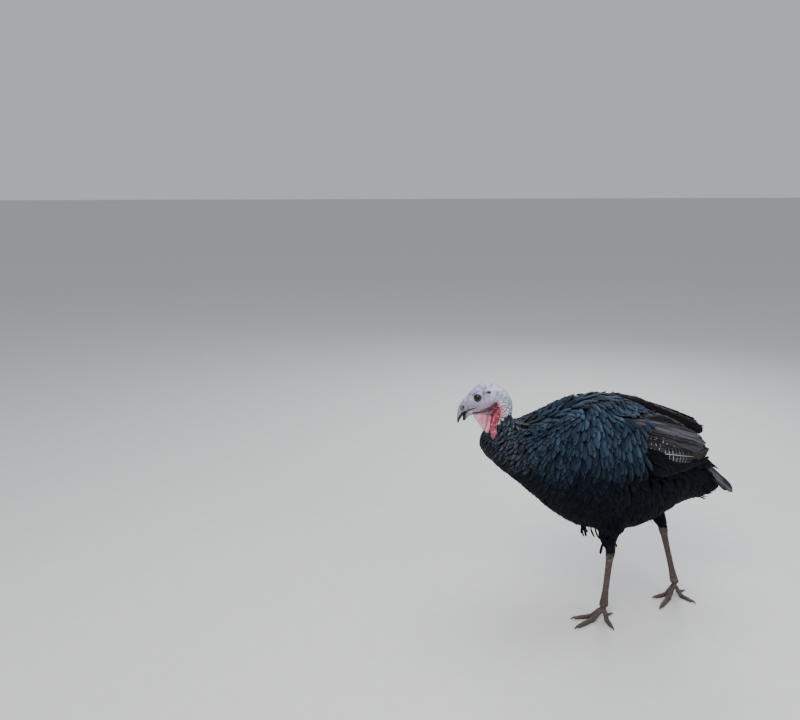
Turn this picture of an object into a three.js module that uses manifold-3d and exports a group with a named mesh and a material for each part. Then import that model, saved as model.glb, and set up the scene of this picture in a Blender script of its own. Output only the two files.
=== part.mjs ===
// Domestic turkey hen, black plumage, life size, walking with its head drawn back.
// Millimetres, +Z up. The bird faces -Y and its left side is +X.
// It is drawn around a point on the ground under the body's middle, and the finished group is
// moved so that the middle of its box stands at the origin, on Z = 0.

import * as THREE from 'three';
import { mergeVertices } from 'three/addons/utils/BufferGeometryUtils.js';
import Module from 'manifold-3d';

const wasm = await Module();
wasm.setup();

// ---------------------------------------------------------------- driving dimensions
const GAP = 0.3; // clear space left between neighbouring pieces
const LEFT = 1; // the bird's left side is +X
const RIGHT = -1;

const EYE_RADIUS = 7.6;
const EYE_CENTRE = [11.1, -345.4, 444.8]; // left eye, before the head is turned
const HEAD_TURN = THREE.MathUtils.degToRad(-17); // the head looks a little to the right
const HEAD_PIVOT = [0, -305, 0]; // the upright axis through the neck that it turns about
const SNOOD_RADIUS = 2.6; // a small knob, drawn in as on a hen
const DEWLAP_THICKNESS = 5;
const DEWLAP_BEVEL = 1.6;
const DEWLAP_SWING = 0.38; // how far it swings to the left for each millimetre it hangs
const DEWLAP_TOP = 424;

const HOCK_HALF = 7.6; // swollen joint at the top of the shank
const SHANK_HALF = 4.9; // across the middle of the shank
const SHANK_DEEP = 1.25; // how much deeper than wide the shank is, front to back
const TOE_HALF = 5.1; // at the knuckle of the middle toe
const CLAW_LENGTH = 13;
const CLAW_HALF = 2.5;
const SOLE_LEVEL = 0; // every toe is cut flat at this height
const BODY_SWAY = 4; // the body swings to the left, over the foot that carries it

// ---------------------------------------------------------------- small helpers
const mixed = (low, high, share) => low + (high - low) * share;
const signedPower = (value, power) => Math.sign(value) * Math.abs(value) ** power;
const mirrored = ([x, y, z], side) => [x * side, y, z];
const vector = ([x, y, z]) => new THREE.Vector3(x, y, z);
const headMatrix = new THREE.Matrix4().makeTranslation(...HEAD_PIVOT)
  .multiply(new THREE.Matrix4().makeRotationZ(HEAD_TURN))
  .multiply(new THREE.Matrix4().makeTranslation(...HEAD_PIVOT.map((value) => -value)));

// Smooth value between b and c, for numbers and for points alike.
function smooth(a, b, c, d, t) {
  if (Array.isArray(b)) {
    return b.map((_, axis) => smooth(a[axis], b[axis], c[axis], d[axis], t));
  }
  const bend = 2 * a - 5 * b + 4 * c - d;
  const twist = 3 * b - a - 3 * c + d;
  return 0.5 * (2 * b + (c - a) * t + bend * t * t + twist * t * t * t);
}

// The station at share t, 0 to 1, along a list of stations.
function stationAt(stations, t) {
  const last = stations.length - 1;
  const place = t * last;
  const i = Math.min(Math.floor(place), last - 1);
  const near = [i - 1, i, i + 1, i + 2].map((k) => stations[THREE.MathUtils.clamp(k, 0, last)]);
  const entry = (key) => [key, smooth(...near.map((station) => station[key]), place - i)];
  return Object.fromEntries(Object.keys(near[1]).map(entry));
}

// A section in the body's middle plane, from its back point to its belly point, both [y, z].
function chord(back, belly, half, extra = {}) {
  const up = [0, back[0] - belly[0], back[1] - belly[1]];
  return {
    at: [0, (back[0] + belly[0]) / 2, (back[1] + belly[1]) / 2],
    up: vector(up).normalize().toArray(),
    half,
    reach: Math.hypot(up[1], up[2]) / 2,
    square: 2.1,
    keel: 0,
    arch: 0,
    ...extra,
  };
}

// A section of a limb: its centre, half width and half depth.
const limb = (at, half, reach = half, up = [0, 0, 1]) => (
  { at, up, half, reach, square: 2, keel: 0, arch: 0 });

// The same sections with the head's turn applied.
const turned = (stations) => stations.map((station) => ({
  ...station,
  at: vector(station.at).applyMatrix4(headMatrix).toArray(),
  up: vector(station.up).transformDirection(headMatrix).toArray(),
}));

// The same sections with the body's sway applied.
const swayed = (stations) => stations.map((station) => {
  const [x, y, z] = station.at;
  return { ...station, at: [x + BODY_SWAY, y, z] };
});

// One ring of points round a station. keel narrows the lower half; arch lets the sides droop.
function ringPoints(station, ahead, sides, grow, scale, shift) {
  const up = vector(station.up).normalize();
  const side = new THREE.Vector3().crossVectors(ahead, up).normalize();
  const centre = vector(station.at).addScaledVector(ahead, shift);
  const points = [];
  for (let k = 0; k < sides; k += 1) {
    const turn = (k / sides) * 2 * Math.PI;
    const across = signedPower(Math.cos(turn), 2 / station.square);
    const along = signedPower(Math.sin(turn), 2 / station.square);
    const pinch = 1 - station.keel * Math.max(0, -along) ** 2;
    const wide = across * pinch * (station.half + grow) * scale;
    const high = along * (station.reach + grow) * scale - station.arch * across * across * scale;
    points.push(centre.clone().addScaledVector(side, wide).addScaledVector(up, high));
  }
  return points;
}

// Closed body through the stations. domes gives how far each end rounds out, as a share of
// its smaller half size.
function loft(stations, { rings, sides, grow = 0, domes = [0.5, 0.5], domeRings = 2 }) {
  const rows = [];
  const step = 0.5 / rings;
  const heading = (t) => {
    const from = vector(stationAt(stations, Math.max(0, t - step)).at);
    const to = vector(stationAt(stations, Math.min(1, t + step)).at);
    return to.sub(from).normalize();
  };
  const endDome = (t, outward, dome) => {
    const station = stationAt(stations, t);
    const ahead = heading(t);
    const depth = dome * Math.min(station.half, station.reach) + grow;
    const made = [];
    for (let k = 1; k <= domeRings; k += 1) {
      const turn = (k / (domeRings + 1)) * (Math.PI / 2);
      const shift = outward * depth * Math.sin(turn);
      made.push(ringPoints(station, ahead, sides, grow, Math.cos(turn), shift));
    }
    return { made, pole: vector(station.at).addScaledVector(ahead, outward * depth) };
  };
  const front = endDome(0, -1, domes[0]);
  const back = endDome(1, 1, domes[1]);
  rows.push(...front.made.reverse());
  for (let i = 0; i <= rings; i += 1) {
    const t = i / rings;
    rows.push(ringPoints(stationAt(stations, t), heading(t), sides, grow, 1, 0));
  }
  rows.push(...back.made);

  const points = [front.pole, ...rows.flat(), back.pole];
  const faces = [];
  const at = (row, k) => 1 + row * sides + (k % sides);
  for (let k = 0; k < sides; k += 1) {
    faces.push([0, at(0, k + 1), at(0, k)]);
    for (let row = 0; row < rows.length - 1; row += 1) {
      faces.push([at(row, k), at(row, k + 1), at(row + 1, k)]);
      faces.push([at(row, k + 1), at(row + 1, k + 1), at(row + 1, k)]);
    }
    faces.push([points.length - 1, at(rows.length - 1, k), at(rows.length - 1, k + 1)]);
  }
  return solidOf(points, faces);
}

// A manifold solid from points and triangles, turned so that its faces point out.
function solidOf(points, faces) {
  const volume = faces.reduce((sum, [a, b, c]) => (
    sum + points[a].dot(new THREE.Vector3().crossVectors(points[b], points[c]))), 0);
  const turned = volume < 0 ? faces.map(([a, b, c]) => [a, c, b]) : faces;
  return new wasm.Manifold(new wasm.Mesh({
    numProp: 3,
    vertProperties: new Float32Array(points.flatMap((p) => p.toArray())),
    triVerts: new Uint32Array(turned.flat()),
  }));
}

// A manifold solid from a three.js geometry, moved by a matrix.
function solidFrom(geometry, matrix) {
  geometry.deleteAttribute('normal');
  geometry.deleteAttribute('uv');
  geometry.applyMatrix4(matrix);
  const merged = mergeVertices(geometry, 1e-4);
  return new wasm.Manifold(new wasm.Mesh({
    numProp: 3,
    vertProperties: merged.attributes.position.array,
    triVerts: new Uint32Array(merged.index.array),
  }));
}

const less = (solid, ...others) => others.reduce((rest, other) => rest.subtract(other), solid);

// The largest piece left after a cut; the crumbs beside it are dropped.
const largest = (solid) => solid.decompose().reduce((best, piece) => (
  piece.volume() > best.volume() ? piece : best));

// Parts a solid at a plane through a point, leaving the gap between the two sides.
function parted(solid, point, normal) {
  const n = vector(normal).normalize();
  const offset = n.dot(vector(point));
  const ahead = solid.trimByPlane(n.toArray(), offset + GAP / 2);
  const behind = solid.trimByPlane(n.clone().negate().toArray(), -offset + GAP / 2);
  return [largest(ahead), largest(behind)];
}

// ---------------------------------------------------------------- materials
const finish = (color, roughness, metalness = 0) => (
  new THREE.MeshStandardMaterial({ color, roughness, metalness }));
const materials = {
  plumage: finish(0x1b2730, 0.55),
  quills: finish(0x2b2524, 0.5),
  bareSkin: finish(0xb9b4c4, 0.6),
  redSkin: finish(0xc8505c, 0.55),
  paleSkin: finish(0xe0a9ac, 0.6),
  horn: finish(0x8f949c, 0.4),
  claw: finish(0x3a3330, 0.45),
  legSkin: finish(0x6a5a55, 0.6),
  eye: finish(0x1c1613, 0.08),
};

const group = new THREE.Group();
function add(name, solid, material) {
  const { vertProperties, triVerts } = solid.getMesh();
  const geometry = new THREE.BufferGeometry();
  geometry.setAttribute('position', new THREE.BufferAttribute(vertProperties, 3));
  geometry.setIndex(new THREE.BufferAttribute(triVerts, 1));
  const mesh = new THREE.Mesh(geometry, material);
  mesh.name = name;
  group.add(mesh);
}

// ---------------------------------------------------------------- trunk and feathered neck
// Sections from the ruff under the head to the feathers under the tail: [back], [belly], half width.
const BODY = swayed([
  chord([-297, 410], [-335, 374], 24),
  chord([-281, 401], [-342, 362], 37),
  chord([-258, 399], [-324, 335], 53),
  chord([-228, 408], [-288, 305], 69, { keel: 0.05 }),
  chord([-195, 423], [-246, 267], 83, { keel: 0.1 }),
  chord([-158, 437], [-206, 230], 91, { keel: 0.15 }),
  chord([-118, 438], [-160, 200], 94, { keel: 0.2 }),
  chord([-75, 426], [-104, 189], 93, { keel: 0.2 }),
  chord([-32, 405], [-50, 190], 86, { keel: 0.2 }),
  chord([12, 377], [0, 212], 72, { keel: 0.15 }),
  chord([50, 343], [42, 229], 55, { keel: 0.1 }),
  chord([82, 314], [80, 229], 40),
  chord([110, 290], [114, 236], 25),
]);
const body = (grow = 0) => loft(BODY, { rings: 20, sides: 22, grow, domes: [0.1, 0.35] });

// ---------------------------------------------------------------- folded wings
// Sections from the wrist to the wing tip. Each leans inward at its top, along the body's side.
// Each row is x, y, z, half thickness and half height. The right wing is held a little looser.
const WINGS = {
  left: [
    [66, -208, 350, 12, 20],
    [79, -172, 358, 15, 40],
    [86, -122, 367, 16, 54],
    [83, -64, 371, 14, 55],
    [73, -12, 361, 12, 43],
    [60, 30, 348, 9, 28],
    [52, 57, 338, 6, 13],
  ],
  right: [
    [-66, -208, 350, 12, 20],
    [-79, -170, 358, 15, 40],
    [-86, -112, 368, 16, 54],
    [-82, -44, 370, 14, 52],
    [-74, 14, 361, 12, 40],
    [-65, 66, 351, 9, 28],
    [-55, 108, 341, 7, 19],
    [-50, 128, 334, 5, 9],
  ],
};
const WING_LEAN = 0.42;
const wing = (rows, grow = 0) => {
  const stations = rows.map(([x, y, z, half, reach]) => (
    limb([x, y, z], half, reach, [-WING_LEAN * Math.sign(x), 0, 1])));
  return loft(swayed(stations), { rings: 10, sides: 12, grow, domes: [0.7, 0.7], domeRings: 1 });
};

// ---------------------------------------------------------------- tail
// Folded tail feathers, held low: sections from the root to the tips.
const TAIL = [
  [-5, 371, 26, 15, 6],
  [32, 341, 36, 12, 10],
  [72, 310, 43, 9, 13],
  [112, 280, 47, 6.5, 14],
  [143, 256, 48, 4, 13],
];
const TAIL_UP = [0, 0.64, 0.77];
const tailSolid = (grow = 0) => {
  const stations = TAIL.map(([y, z, half, reach, arch]) => (
    { at: [0, y, z], up: TAIL_UP, half, reach, square: 2.6, keel: 0, arch }));
  return loft(swayed(stations), { rings: 7, sides: 16, grow, domes: [0.5, 0.9], domeRings: 1 });
};

// ---------------------------------------------------------------- head and bare neck
const HEAD = turned([
  chord([-291, 441], [-292, 421], 12),
  chord([-298, 453.5], [-299, 414], 17.5),
  chord([-311, 464], [-313, 413], 20),
  chord([-328, 468.5], [-330, 413], 20),
  chord([-342, 465.5], [-341, 414], 18.2),
  chord([-354, 455.5], [-348, 416], 15),
  chord([-364, 443.5], [-354, 419], 11.8),
  chord([-371, 434.5], [-360, 421], 9.4),
]);
const skull = (grow = 0) => loft(HEAD, { rings: 9, sides: 16, grow, domes: [0.35, 0.35], domeRings: 1 });

const BARE_NECK = turned([
  chord([-288, 436], [-320, 430], 16),
  chord([-287, 424], [-323, 418], 17.5),
  chord([-289, 413], [-327, 404], 18.5),
  chord([-294, 402], [-331, 391], 19),
  chord([-300, 390], [-334, 378], 19.5),
]);
const bareNeck = (grow = 0) => loft(BARE_NECK, {
  rings: 4, sides: 14, grow, domes: [0.2, 0.2], domeRings: 1,
});

const eyeball = (side, radius) => {
  const place = new THREE.Matrix4().makeTranslation(...mirrored(EYE_CENTRE, side));
  return solidFrom(new THREE.SphereGeometry(radius, 10, 7), headMatrix.clone().multiply(place));
};

const BILL_UPPER = turned([
  chord([-370, 436], [-350, 426.5], 10),
  chord([-376, 428], [-358, 421.5], 9.2),
  chord([-378.6, 418.5], [-364.5, 416.5], 7.6, { keel: 0.1 }),
  chord([-379.5, 409], [-370, 409.5], 5.4, { keel: 0.15 }),
  chord([-379, 401], [-374.5, 402.5], 3.2, { keel: 0.15 }),
  chord([-378, 396.5], [-376.6, 397], 1.4),
]);
const billUpper = (grow = 0) => loft(BILL_UPPER, {
  rings: 8, sides: 10, grow, domes: [0.5, 0.8], domeRings: 1,
});

const BILL_LOWER = turned([
  chord([-351, 425], [-345, 413], 9.2),
  chord([-360, 420.5], [-354.5, 411.5], 7.9),
  chord([-366.5, 414], [-361, 407], 6),
  chord([-370, 406.5], [-365.5, 401.5], 3.4),
  chord([-369, 400.5], [-366.8, 399], 1.5),
]);
const billLower = (grow = 0) => loft(BILL_LOWER, {
  rings: 6, sides: 10, grow, domes: [0.5, 0.8], domeRings: 1,
});

const SNOOD = turned([
  limb([0, -361.5, 440.5], SNOOD_RADIUS, SNOOD_RADIUS, [1, 0, 0]),
  limb([0, -365.5, 439.8], SNOOD_RADIUS, SNOOD_RADIUS, [1, 0, 0]),
  limb([0, -369.5, 436], SNOOD_RADIUS * 0.7, SNOOD_RADIUS * 0.7, [1, 0, 0]),
]);
const snood = (grow = 0) => loft(SNOOD, {
  rings: 3, sides: 8, grow, domes: [0.8, 0.8], domeRings: 1,
});

// The thin fold of skin under the throat, outlined in the middle plane as [y, z].
function dewlap() {
  const outline = new THREE.Shape();
  outline.moveTo(-356, 416);
  outline.quadraticCurveTo(-346, 403, -341, 396);
  outline.quadraticCurveTo(-338, 388, -329, 384);
  outline.quadraticCurveTo(-324, 393, -323.5, 402);
  outline.lineTo(-321, 424);
  outline.lineTo(-346, 426);
  outline.closePath();
  const geometry = new THREE.ExtrudeGeometry(outline, {
    depth: DEWLAP_THICKNESS - 2 * DEWLAP_BEVEL,
    bevelThickness: DEWLAP_BEVEL,
    bevelSize: DEWLAP_BEVEL,
    bevelOffset: -DEWLAP_BEVEL,
    bevelSegments: 1,
    curveSegments: 5,
  });
  // shape x is the bird's y, shape y its z, and the depth runs along x
  const basis = new THREE.Matrix4().makeBasis(vector([0, 1, 0]), vector([0, 0, 1]), vector([1, 0, 0]));
  basis.setPosition(DEWLAP_BEVEL - DEWLAP_THICKNESS / 2, 0, 0);
  const swing = new THREE.Matrix4().makeShear(0, 0, 0, 0, -DEWLAP_SWING, 0);
  swing.setPosition(DEWLAP_SWING * DEWLAP_TOP, 0, 0);
  return solidFrom(geometry, headMatrix.clone().multiply(swing).multiply(basis));
}

// Red lobes on each side of the throat, behind the dewlap.
const WATTLE = [
  limb([14, -312, 426], 3.2, 4.4, [0, 1, 0]),
  limb([19.5, -316, 413], 3.8, 4.8, [0, 1, 0]),
  limb([24.5, -319, 400], 4.4, 5, [0, 1, 0]),
  limb([27.5, -319.5, 390], 4.8, 5.2, [0, 1, 0]),
  limb([28.5, -318.5, 382], 4, 4.4, [0, 1, 0]),
];
const wattle = (side, grow = 0) => {
  const stations = WATTLE.map((station) => ({ ...station, at: mirrored(station.at, side) }));
  return loft(turned(stations), { rings: 6, sides: 8, grow, domes: [1, 1], domeRings: 1 });
};

// ---------------------------------------------------------------- legs
// Each leg: the feathered thigh's sections, the shank's ends, and the toes.
// A toe is given by its turn outward from straight ahead, in degrees, and its length.
const LEGS = {
  left: {
    side: LEFT,
    thigh: [[42, -104, 256, 29, 34], [47, -112, 226, 30, 27], [36, -112, 196, 20, 17],
      [27, -105, 170, 14, 14], [24, -98, 154, 9.5, 10.5]],
    hock: [23, -95, 148],
    foot: [3, -89, 25],
    toes: { middle: [19, 65, 1], inner: [-6, 54, 0.9], outer: [86, 36, 0.88], hind: [188, 17, 0.66] },
  },
  right: {
    side: RIGHT,
    thigh: [[-42, -26, 258, 32, 44], [-46, -2, 226, 31, 37], [-43, 22, 194, 22, 25],
      [-39, 38, 170, 14, 15.5], [-37, 46, 156, 9.5, 10.5]],
    hock: [-36, 49, 149],
    foot: [-34, 86, 28],
    toes: { middle: [-36, 63, 1], inner: [-116, 38, 0.9], outer: [-6, 42, 0.88], hind: [172, 24, 0.66] },
  },
};

const thigh = ({ thigh: rows }, grow = 0) => loft(
  rows.map(([x, y, z, half, reach]) => limb([x, y, z], half, reach, [0, 1, 0])),
  { rings: 6, sides: 12, grow, domeRings: 1 },
);

function shank({ hock, foot }, grow = 0) {
  const along = (share) => hock.map((value, axis) => mixed(value, foot[axis], share));
  const section = (share, half) => limb(along(share), half, half * SHANK_DEEP, [0, 1, 0]);
  return loft([
    section(-0.03, HOCK_HALF * 0.85),
    section(0.05, HOCK_HALF),
    section(0.17, SHANK_HALF * 1.15),
    section(0.45, SHANK_HALF),
    section(0.75, SHANK_HALF * 1.02),
    section(0.92, SHANK_HALF * 1.35),
    section(1, SHANK_HALF * 1.5),
  ], { rings: 9, sides: 8, grow, domes: [0.7, 0.7], domeRings: 1 });
}

// The way a toe points on the ground.
const toeDirection = ({ side }, turn) => {
  const radians = THREE.MathUtils.degToRad(turn * side);
  return [Math.sin(radians), -Math.cos(radians)];
};

function toe(leg, [turn, length, size], grow = 0) {
  const [x, y] = toeDirection(leg, turn);
  const half = TOE_HALF * size;
  const at = (share, z) => [leg.foot[0] + x * share * length, leg.foot[1] + y * share * length, z];
  return loft([
    limb(at(0.02, leg.foot[2] - 7), half * 0.95),
    limb(at(0.2, mixed(half, leg.foot[2], 0.42)), half),
    limb(at(0.42, half * 0.8), half * 1.06),
    limb(at(0.58, half * 0.62), half * 0.92),
    limb(at(0.78, half * 0.6), half * 0.9),
    limb(at(0.98, half * 0.46), half * 0.72),
  ], { rings: 5, sides: 8, grow, domes: [0.8, 0.8], domeRings: 1 }).trimByPlane([0, 0, 1], SOLE_LEVEL);
}

function claw(leg, [turn, length, size]) {
  const [x, y] = toeDirection(leg, turn);
  const half = CLAW_HALF * size;
  const start = length * 0.95;
  const at = (reach, z) => [leg.foot[0] + x * (start + reach), leg.foot[1] + y * (start + reach), z];
  const end = CLAW_LENGTH * size;
  return loft([
    limb(at(0, TOE_HALF * size * 0.85), half * 0.8),
    limb(at(end * 0.35, TOE_HALF * size * 0.9), half),
    limb(at(end * 0.72, TOE_HALF * size * 0.66), half * 0.68),
    limb(at(end, half * 0.42), half * 0.3),
  ], { rings: 3, sides: 6, domes: [1, 1], domeRings: 1 }).trimByPlane([0, 0, 1], SOLE_LEVEL);
}

// ---------------------------------------------------------------- parting and assembly
const wingRoom = wing(WINGS.left, GAP).add(wing(WINGS.right, GAP));

// the body is one form, parted behind the neck and in front of the rump
const carved = less(body(), wingRoom);
const [behindNeck, neckFeathers] = parted(carved, [0, -287, 364], [0, 0.66, -0.75]);
const [rump, trunk] = parted(behindNeck, [0, 22, 295], [0, 1, -0.25]);
add('trunk', trunk, materials.plumage);
add('neck_feathered', neckFeathers, materials.plumage);
add('rump', rump, materials.plumage);
add('tail', largest(less(tailSolid(), body(GAP), wingRoom)), materials.quills);

for (const [name, rows] of Object.entries(WINGS)) {
  // the covert-clad arm, then the long quills: the secondaries above, the primaries below
  const [quills, arm] = parted(wing(rows), [0, -88, 360], [0, 1, 0.12]);
  const [secondaries, primaries] = parted(quills, [0, -30, 340], [0, 0.12, 1]);
  add(`wing_${name}`, arm, materials.plumage);
  add(`secondaries_${name}`, secondaries, materials.quills);
  add(`primaries_${name}`, primaries, materials.quills);
}

const billRoom = billUpper(GAP).add(billLower(GAP));
const skullSolid = less(skull(), eyeball(LEFT, EYE_RADIUS + GAP), eyeball(RIGHT, EYE_RADIUS + GAP));
add('head', largest(less(skullSolid, snood(GAP), billRoom)), materials.bareSkin);
add('neck_bare', largest(less(bareNeck(), skull(GAP), body(GAP))), materials.bareSkin);
add('snood', largest(less(snood(), billRoom)), materials.bareSkin);
add('bill_upper', billUpper(), materials.horn);
add('bill_lower', largest(less(billLower(), billUpper(GAP))), materials.horn);
add('eye_left', eyeball(LEFT, EYE_RADIUS), materials.eye);
add('eye_right', eyeball(RIGHT, EYE_RADIUS), materials.eye);

const neckRoom = skull(GAP).add(bareNeck(GAP)).add(body(GAP)).add(billLower(GAP));
const dewlapSolid = largest(less(dewlap(), neckRoom));
add('dewlap', dewlapSolid, materials.paleSkin);
for (const [name, side] of [['left', LEFT], ['right', RIGHT]]) {
  add(`wattle_${name}`, largest(less(wattle(side), neckRoom)), materials.redSkin);
}

for (const [name, leg] of Object.entries(LEGS)) {
  const toeEntries = Object.entries(leg.toes);
  const room = toeEntries.map(([, size]) => toe(leg, size, GAP));
  add(`thigh_${name}`, largest(less(thigh(leg), body(GAP), shank(leg, GAP))), materials.plumage);
  add(`shank_${name}`, largest(less(shank(leg), ...room)), materials.legSkin);
  toeEntries.forEach(([place, size], index) => {
    const digit = largest(less(toe(leg, size), ...room.slice(0, index)));
    const nail = claw(leg, size);
    add(`toe_${place}_${name}`, digit, materials.legSkin);
    add(`claw_${place}_${name}`, largest(less(nail, toe(leg, size, GAP))), materials.claw);
  });
}

// the middle of the box stands at the origin, on the ground
const box = new THREE.Box3().setFromObject(group);
const middle = box.getCenter(new THREE.Vector3());
group.position.set(-middle.x, -middle.y, -box.min.z);
group.updateMatrixWorld(true);

export default group;
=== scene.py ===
"""A black domestic turkey hen, life size: bare skin, bill, eyes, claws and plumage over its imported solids."""

import math
from itertools import product

import bpy
import numpy as np
from bpy.props import FloatProperty, FloatVectorProperty, IntProperty, PointerProperty
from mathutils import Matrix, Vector
from mathutils.bvhtree import BVHTree


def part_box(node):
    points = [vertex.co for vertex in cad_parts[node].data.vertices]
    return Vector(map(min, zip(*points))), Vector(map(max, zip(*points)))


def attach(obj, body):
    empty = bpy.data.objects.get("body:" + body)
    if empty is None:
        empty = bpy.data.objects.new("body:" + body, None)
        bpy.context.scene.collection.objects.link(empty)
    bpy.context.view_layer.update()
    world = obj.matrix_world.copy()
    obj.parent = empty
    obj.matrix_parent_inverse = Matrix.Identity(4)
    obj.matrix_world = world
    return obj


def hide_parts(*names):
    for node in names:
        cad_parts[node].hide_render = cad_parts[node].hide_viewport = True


bl_info = {
    "name": "Black turkey hen",
    "version": (1, 0, 0),
    "blender": (4, 5, 0),
    "location": "3D View > Sidebar > Turkey",
    "description": "Skin, bill, eyes, claws and plumage of a life-size turkey hen",
    "category": "Add Mesh",
}

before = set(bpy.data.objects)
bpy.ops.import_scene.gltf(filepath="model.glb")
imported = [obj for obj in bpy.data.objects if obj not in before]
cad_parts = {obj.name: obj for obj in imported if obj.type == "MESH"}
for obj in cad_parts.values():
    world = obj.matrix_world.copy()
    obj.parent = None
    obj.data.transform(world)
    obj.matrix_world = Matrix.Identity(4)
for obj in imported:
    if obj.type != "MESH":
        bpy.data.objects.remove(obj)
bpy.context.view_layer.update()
MM = 0.001
SIDES = ("left", "right")
TOES = ("middle", "inner", "outer", "hind")


# ------------------------------------------------------------------ settings


def length(name, description, default, low=0.0):
    return FloatProperty(
        name=name, description=description, default=default, min=low, subtype="DISTANCE", unit="LENGTH"
    )


def share(name, description, default):
    return FloatProperty(
        name=name, description=description, default=default, min=0.0, max=1.0, subtype="FACTOR"
    )


def colour(name, description, default):
    return FloatVectorProperty(
        name=name, description=description, default=default, size=3, min=0.0, max=1.0, subtype="COLOR"
    )


class HenSizes(bpy.types.PropertyGroup):
    """Sizes of the skin's details and of the feathers."""

    coat_depth: length("Coat depth", "How far the skin lies inside the plumage", 0.0065)
    skin_grain: length("Skin grain", "Mesh size on the head and neck", 0.0007, 0.0004)
    leg_grain: length("Leg grain", "Mesh size on the shanks and toes", 0.0011, 0.0004)
    hull_grain: length("Hull grain", "Mesh size of the surface that feathers lie on", 0.0032, 0.001)
    eye_opening: length("Eye opening", "Radius of the eye between its lids", 0.0050)
    lid_height: length("Lid height", "How far the lids stand out round the eye", 0.0004)
    neck_feather: length("Neck feather", "Length of a feather under the head", 0.025)
    back_feather: length("Back feather", "Length of a feather on the back and wings", 0.043)
    belly_feather: length("Belly feather", "Length of a feather on breast and belly", 0.036)
    neck_width: length("Neck feather width", "Width of a feather under the head", 0.0074)
    back_width: length("Back feather width", "Width of a feather on the back", 0.0088)
    feather_gap: share("Feather spacing", "Space between roots, as a share of feather width", 0.43)
    seed: IntProperty(name="Seed", description="Start of every chance variation", default=7)


class HenColours(bpy.types.PropertyGroup):
    """Colours of skin, horn and feathers."""

    crown: colour("Crown skin", "Pale bluish white skin of the crown", (0.42, 0.445, 0.61))
    cheek: colour("Cheek skin", "Greyish lavender skin of the cheek", (0.29, 0.225, 0.275))
    blue: colour("Blue patch", "Periwinkle skin under the eye", (0.22, 0.25, 0.47))
    red: colour("Red skin", "Red caruncles of the throat", (0.42, 0.028, 0.05))
    bead: colour("Beads", "Cream white beads of the nape", (0.72, 0.70, 0.68))
    fold: colour("Throat fold", "Pale pink fold under the throat", (0.62, 0.28, 0.36))
    jaw: colour("Jaw line", "Dark brownish skin along the jaw", (0.085, 0.032, 0.036))
    horn: colour("Bill", "Grey horn of the bill", (0.26, 0.265, 0.32))
    horn_dark: colour("Bill edge", "Dark horn along the bill's cutting edge", (0.014, 0.011, 0.014))
    leg: colour("Leg", "Brownish grey scales", (0.078, 0.054, 0.050))
    black: colour("Black plumage", "Feather base colour", (0.0011, 0.0016, 0.0042))
    # Slate and lilac are painted sheen: the blue-grey reflection on lit feathers, painted into their colour.
    sheen_slate: colour("Slate gloss", "Blue-grey of the lit feathers of the back", (0.056, 0.099, 0.162))
    lilac: colour("Wing gloss", "Lilac-blue of the lit feathers over the wings", (0.084, 0.106, 0.178))
    # The feather edge colour is a painted highlight on feather rims and down the middle of the neck feathers.
    edge: colour("Feather edge", "Grey-teal light of neck feathers", (0.105, 0.115, 0.130))
    quill: colour("Flight feathers", "Bronze brown of the flight feathers", (0.036, 0.031, 0.034))
    bar: colour("White bars", "Pale bars and edges of the flight feathers", (0.48, 0.48, 0.50))


# ------------------------------------------------------------------ shader expressions


class Flow:
    """A shader value that can be used in sums, differences and products."""

    def __init__(self, recipe, socket):
        self.recipe = recipe
        self.socket = socket

    def made(self, operation, *values, clamp=False):
        return self.recipe.node("ShaderNodeMath", {"operation": operation, "use_clamp": clamp}, *values)

    def __add__(self, other):
        return self.made("ADD", self, other)

    def __sub__(self, other):
        return self.made("SUBTRACT", self, other)

    def __rsub__(self, other):
        return self.made("SUBTRACT", other, self)

    def __mul__(self, other):
        return self.made("MULTIPLY", self, other)

    __radd__ = __add__
    __rmul__ = __mul__

    def clamped(self):
        return self.made("ADD", self, 0.0, clamp=True)

    def absolute(self):
        return self.made("ABSOLUTE", self)

    def sine(self):
        return self.made("SINE", self)

    def larger(self, other):
        return self.made("MAXIMUM", self, other)

    def step(self, low, high):
        """0 below low and 1 above high, with a smooth change between them."""
        return self.recipe.node(
            "ShaderNodeMapRange",
            {"interpolation_type": "SMOOTHSTEP"},
            Value=self,
            **{"From Min": low, "From Max": high},
        )


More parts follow.
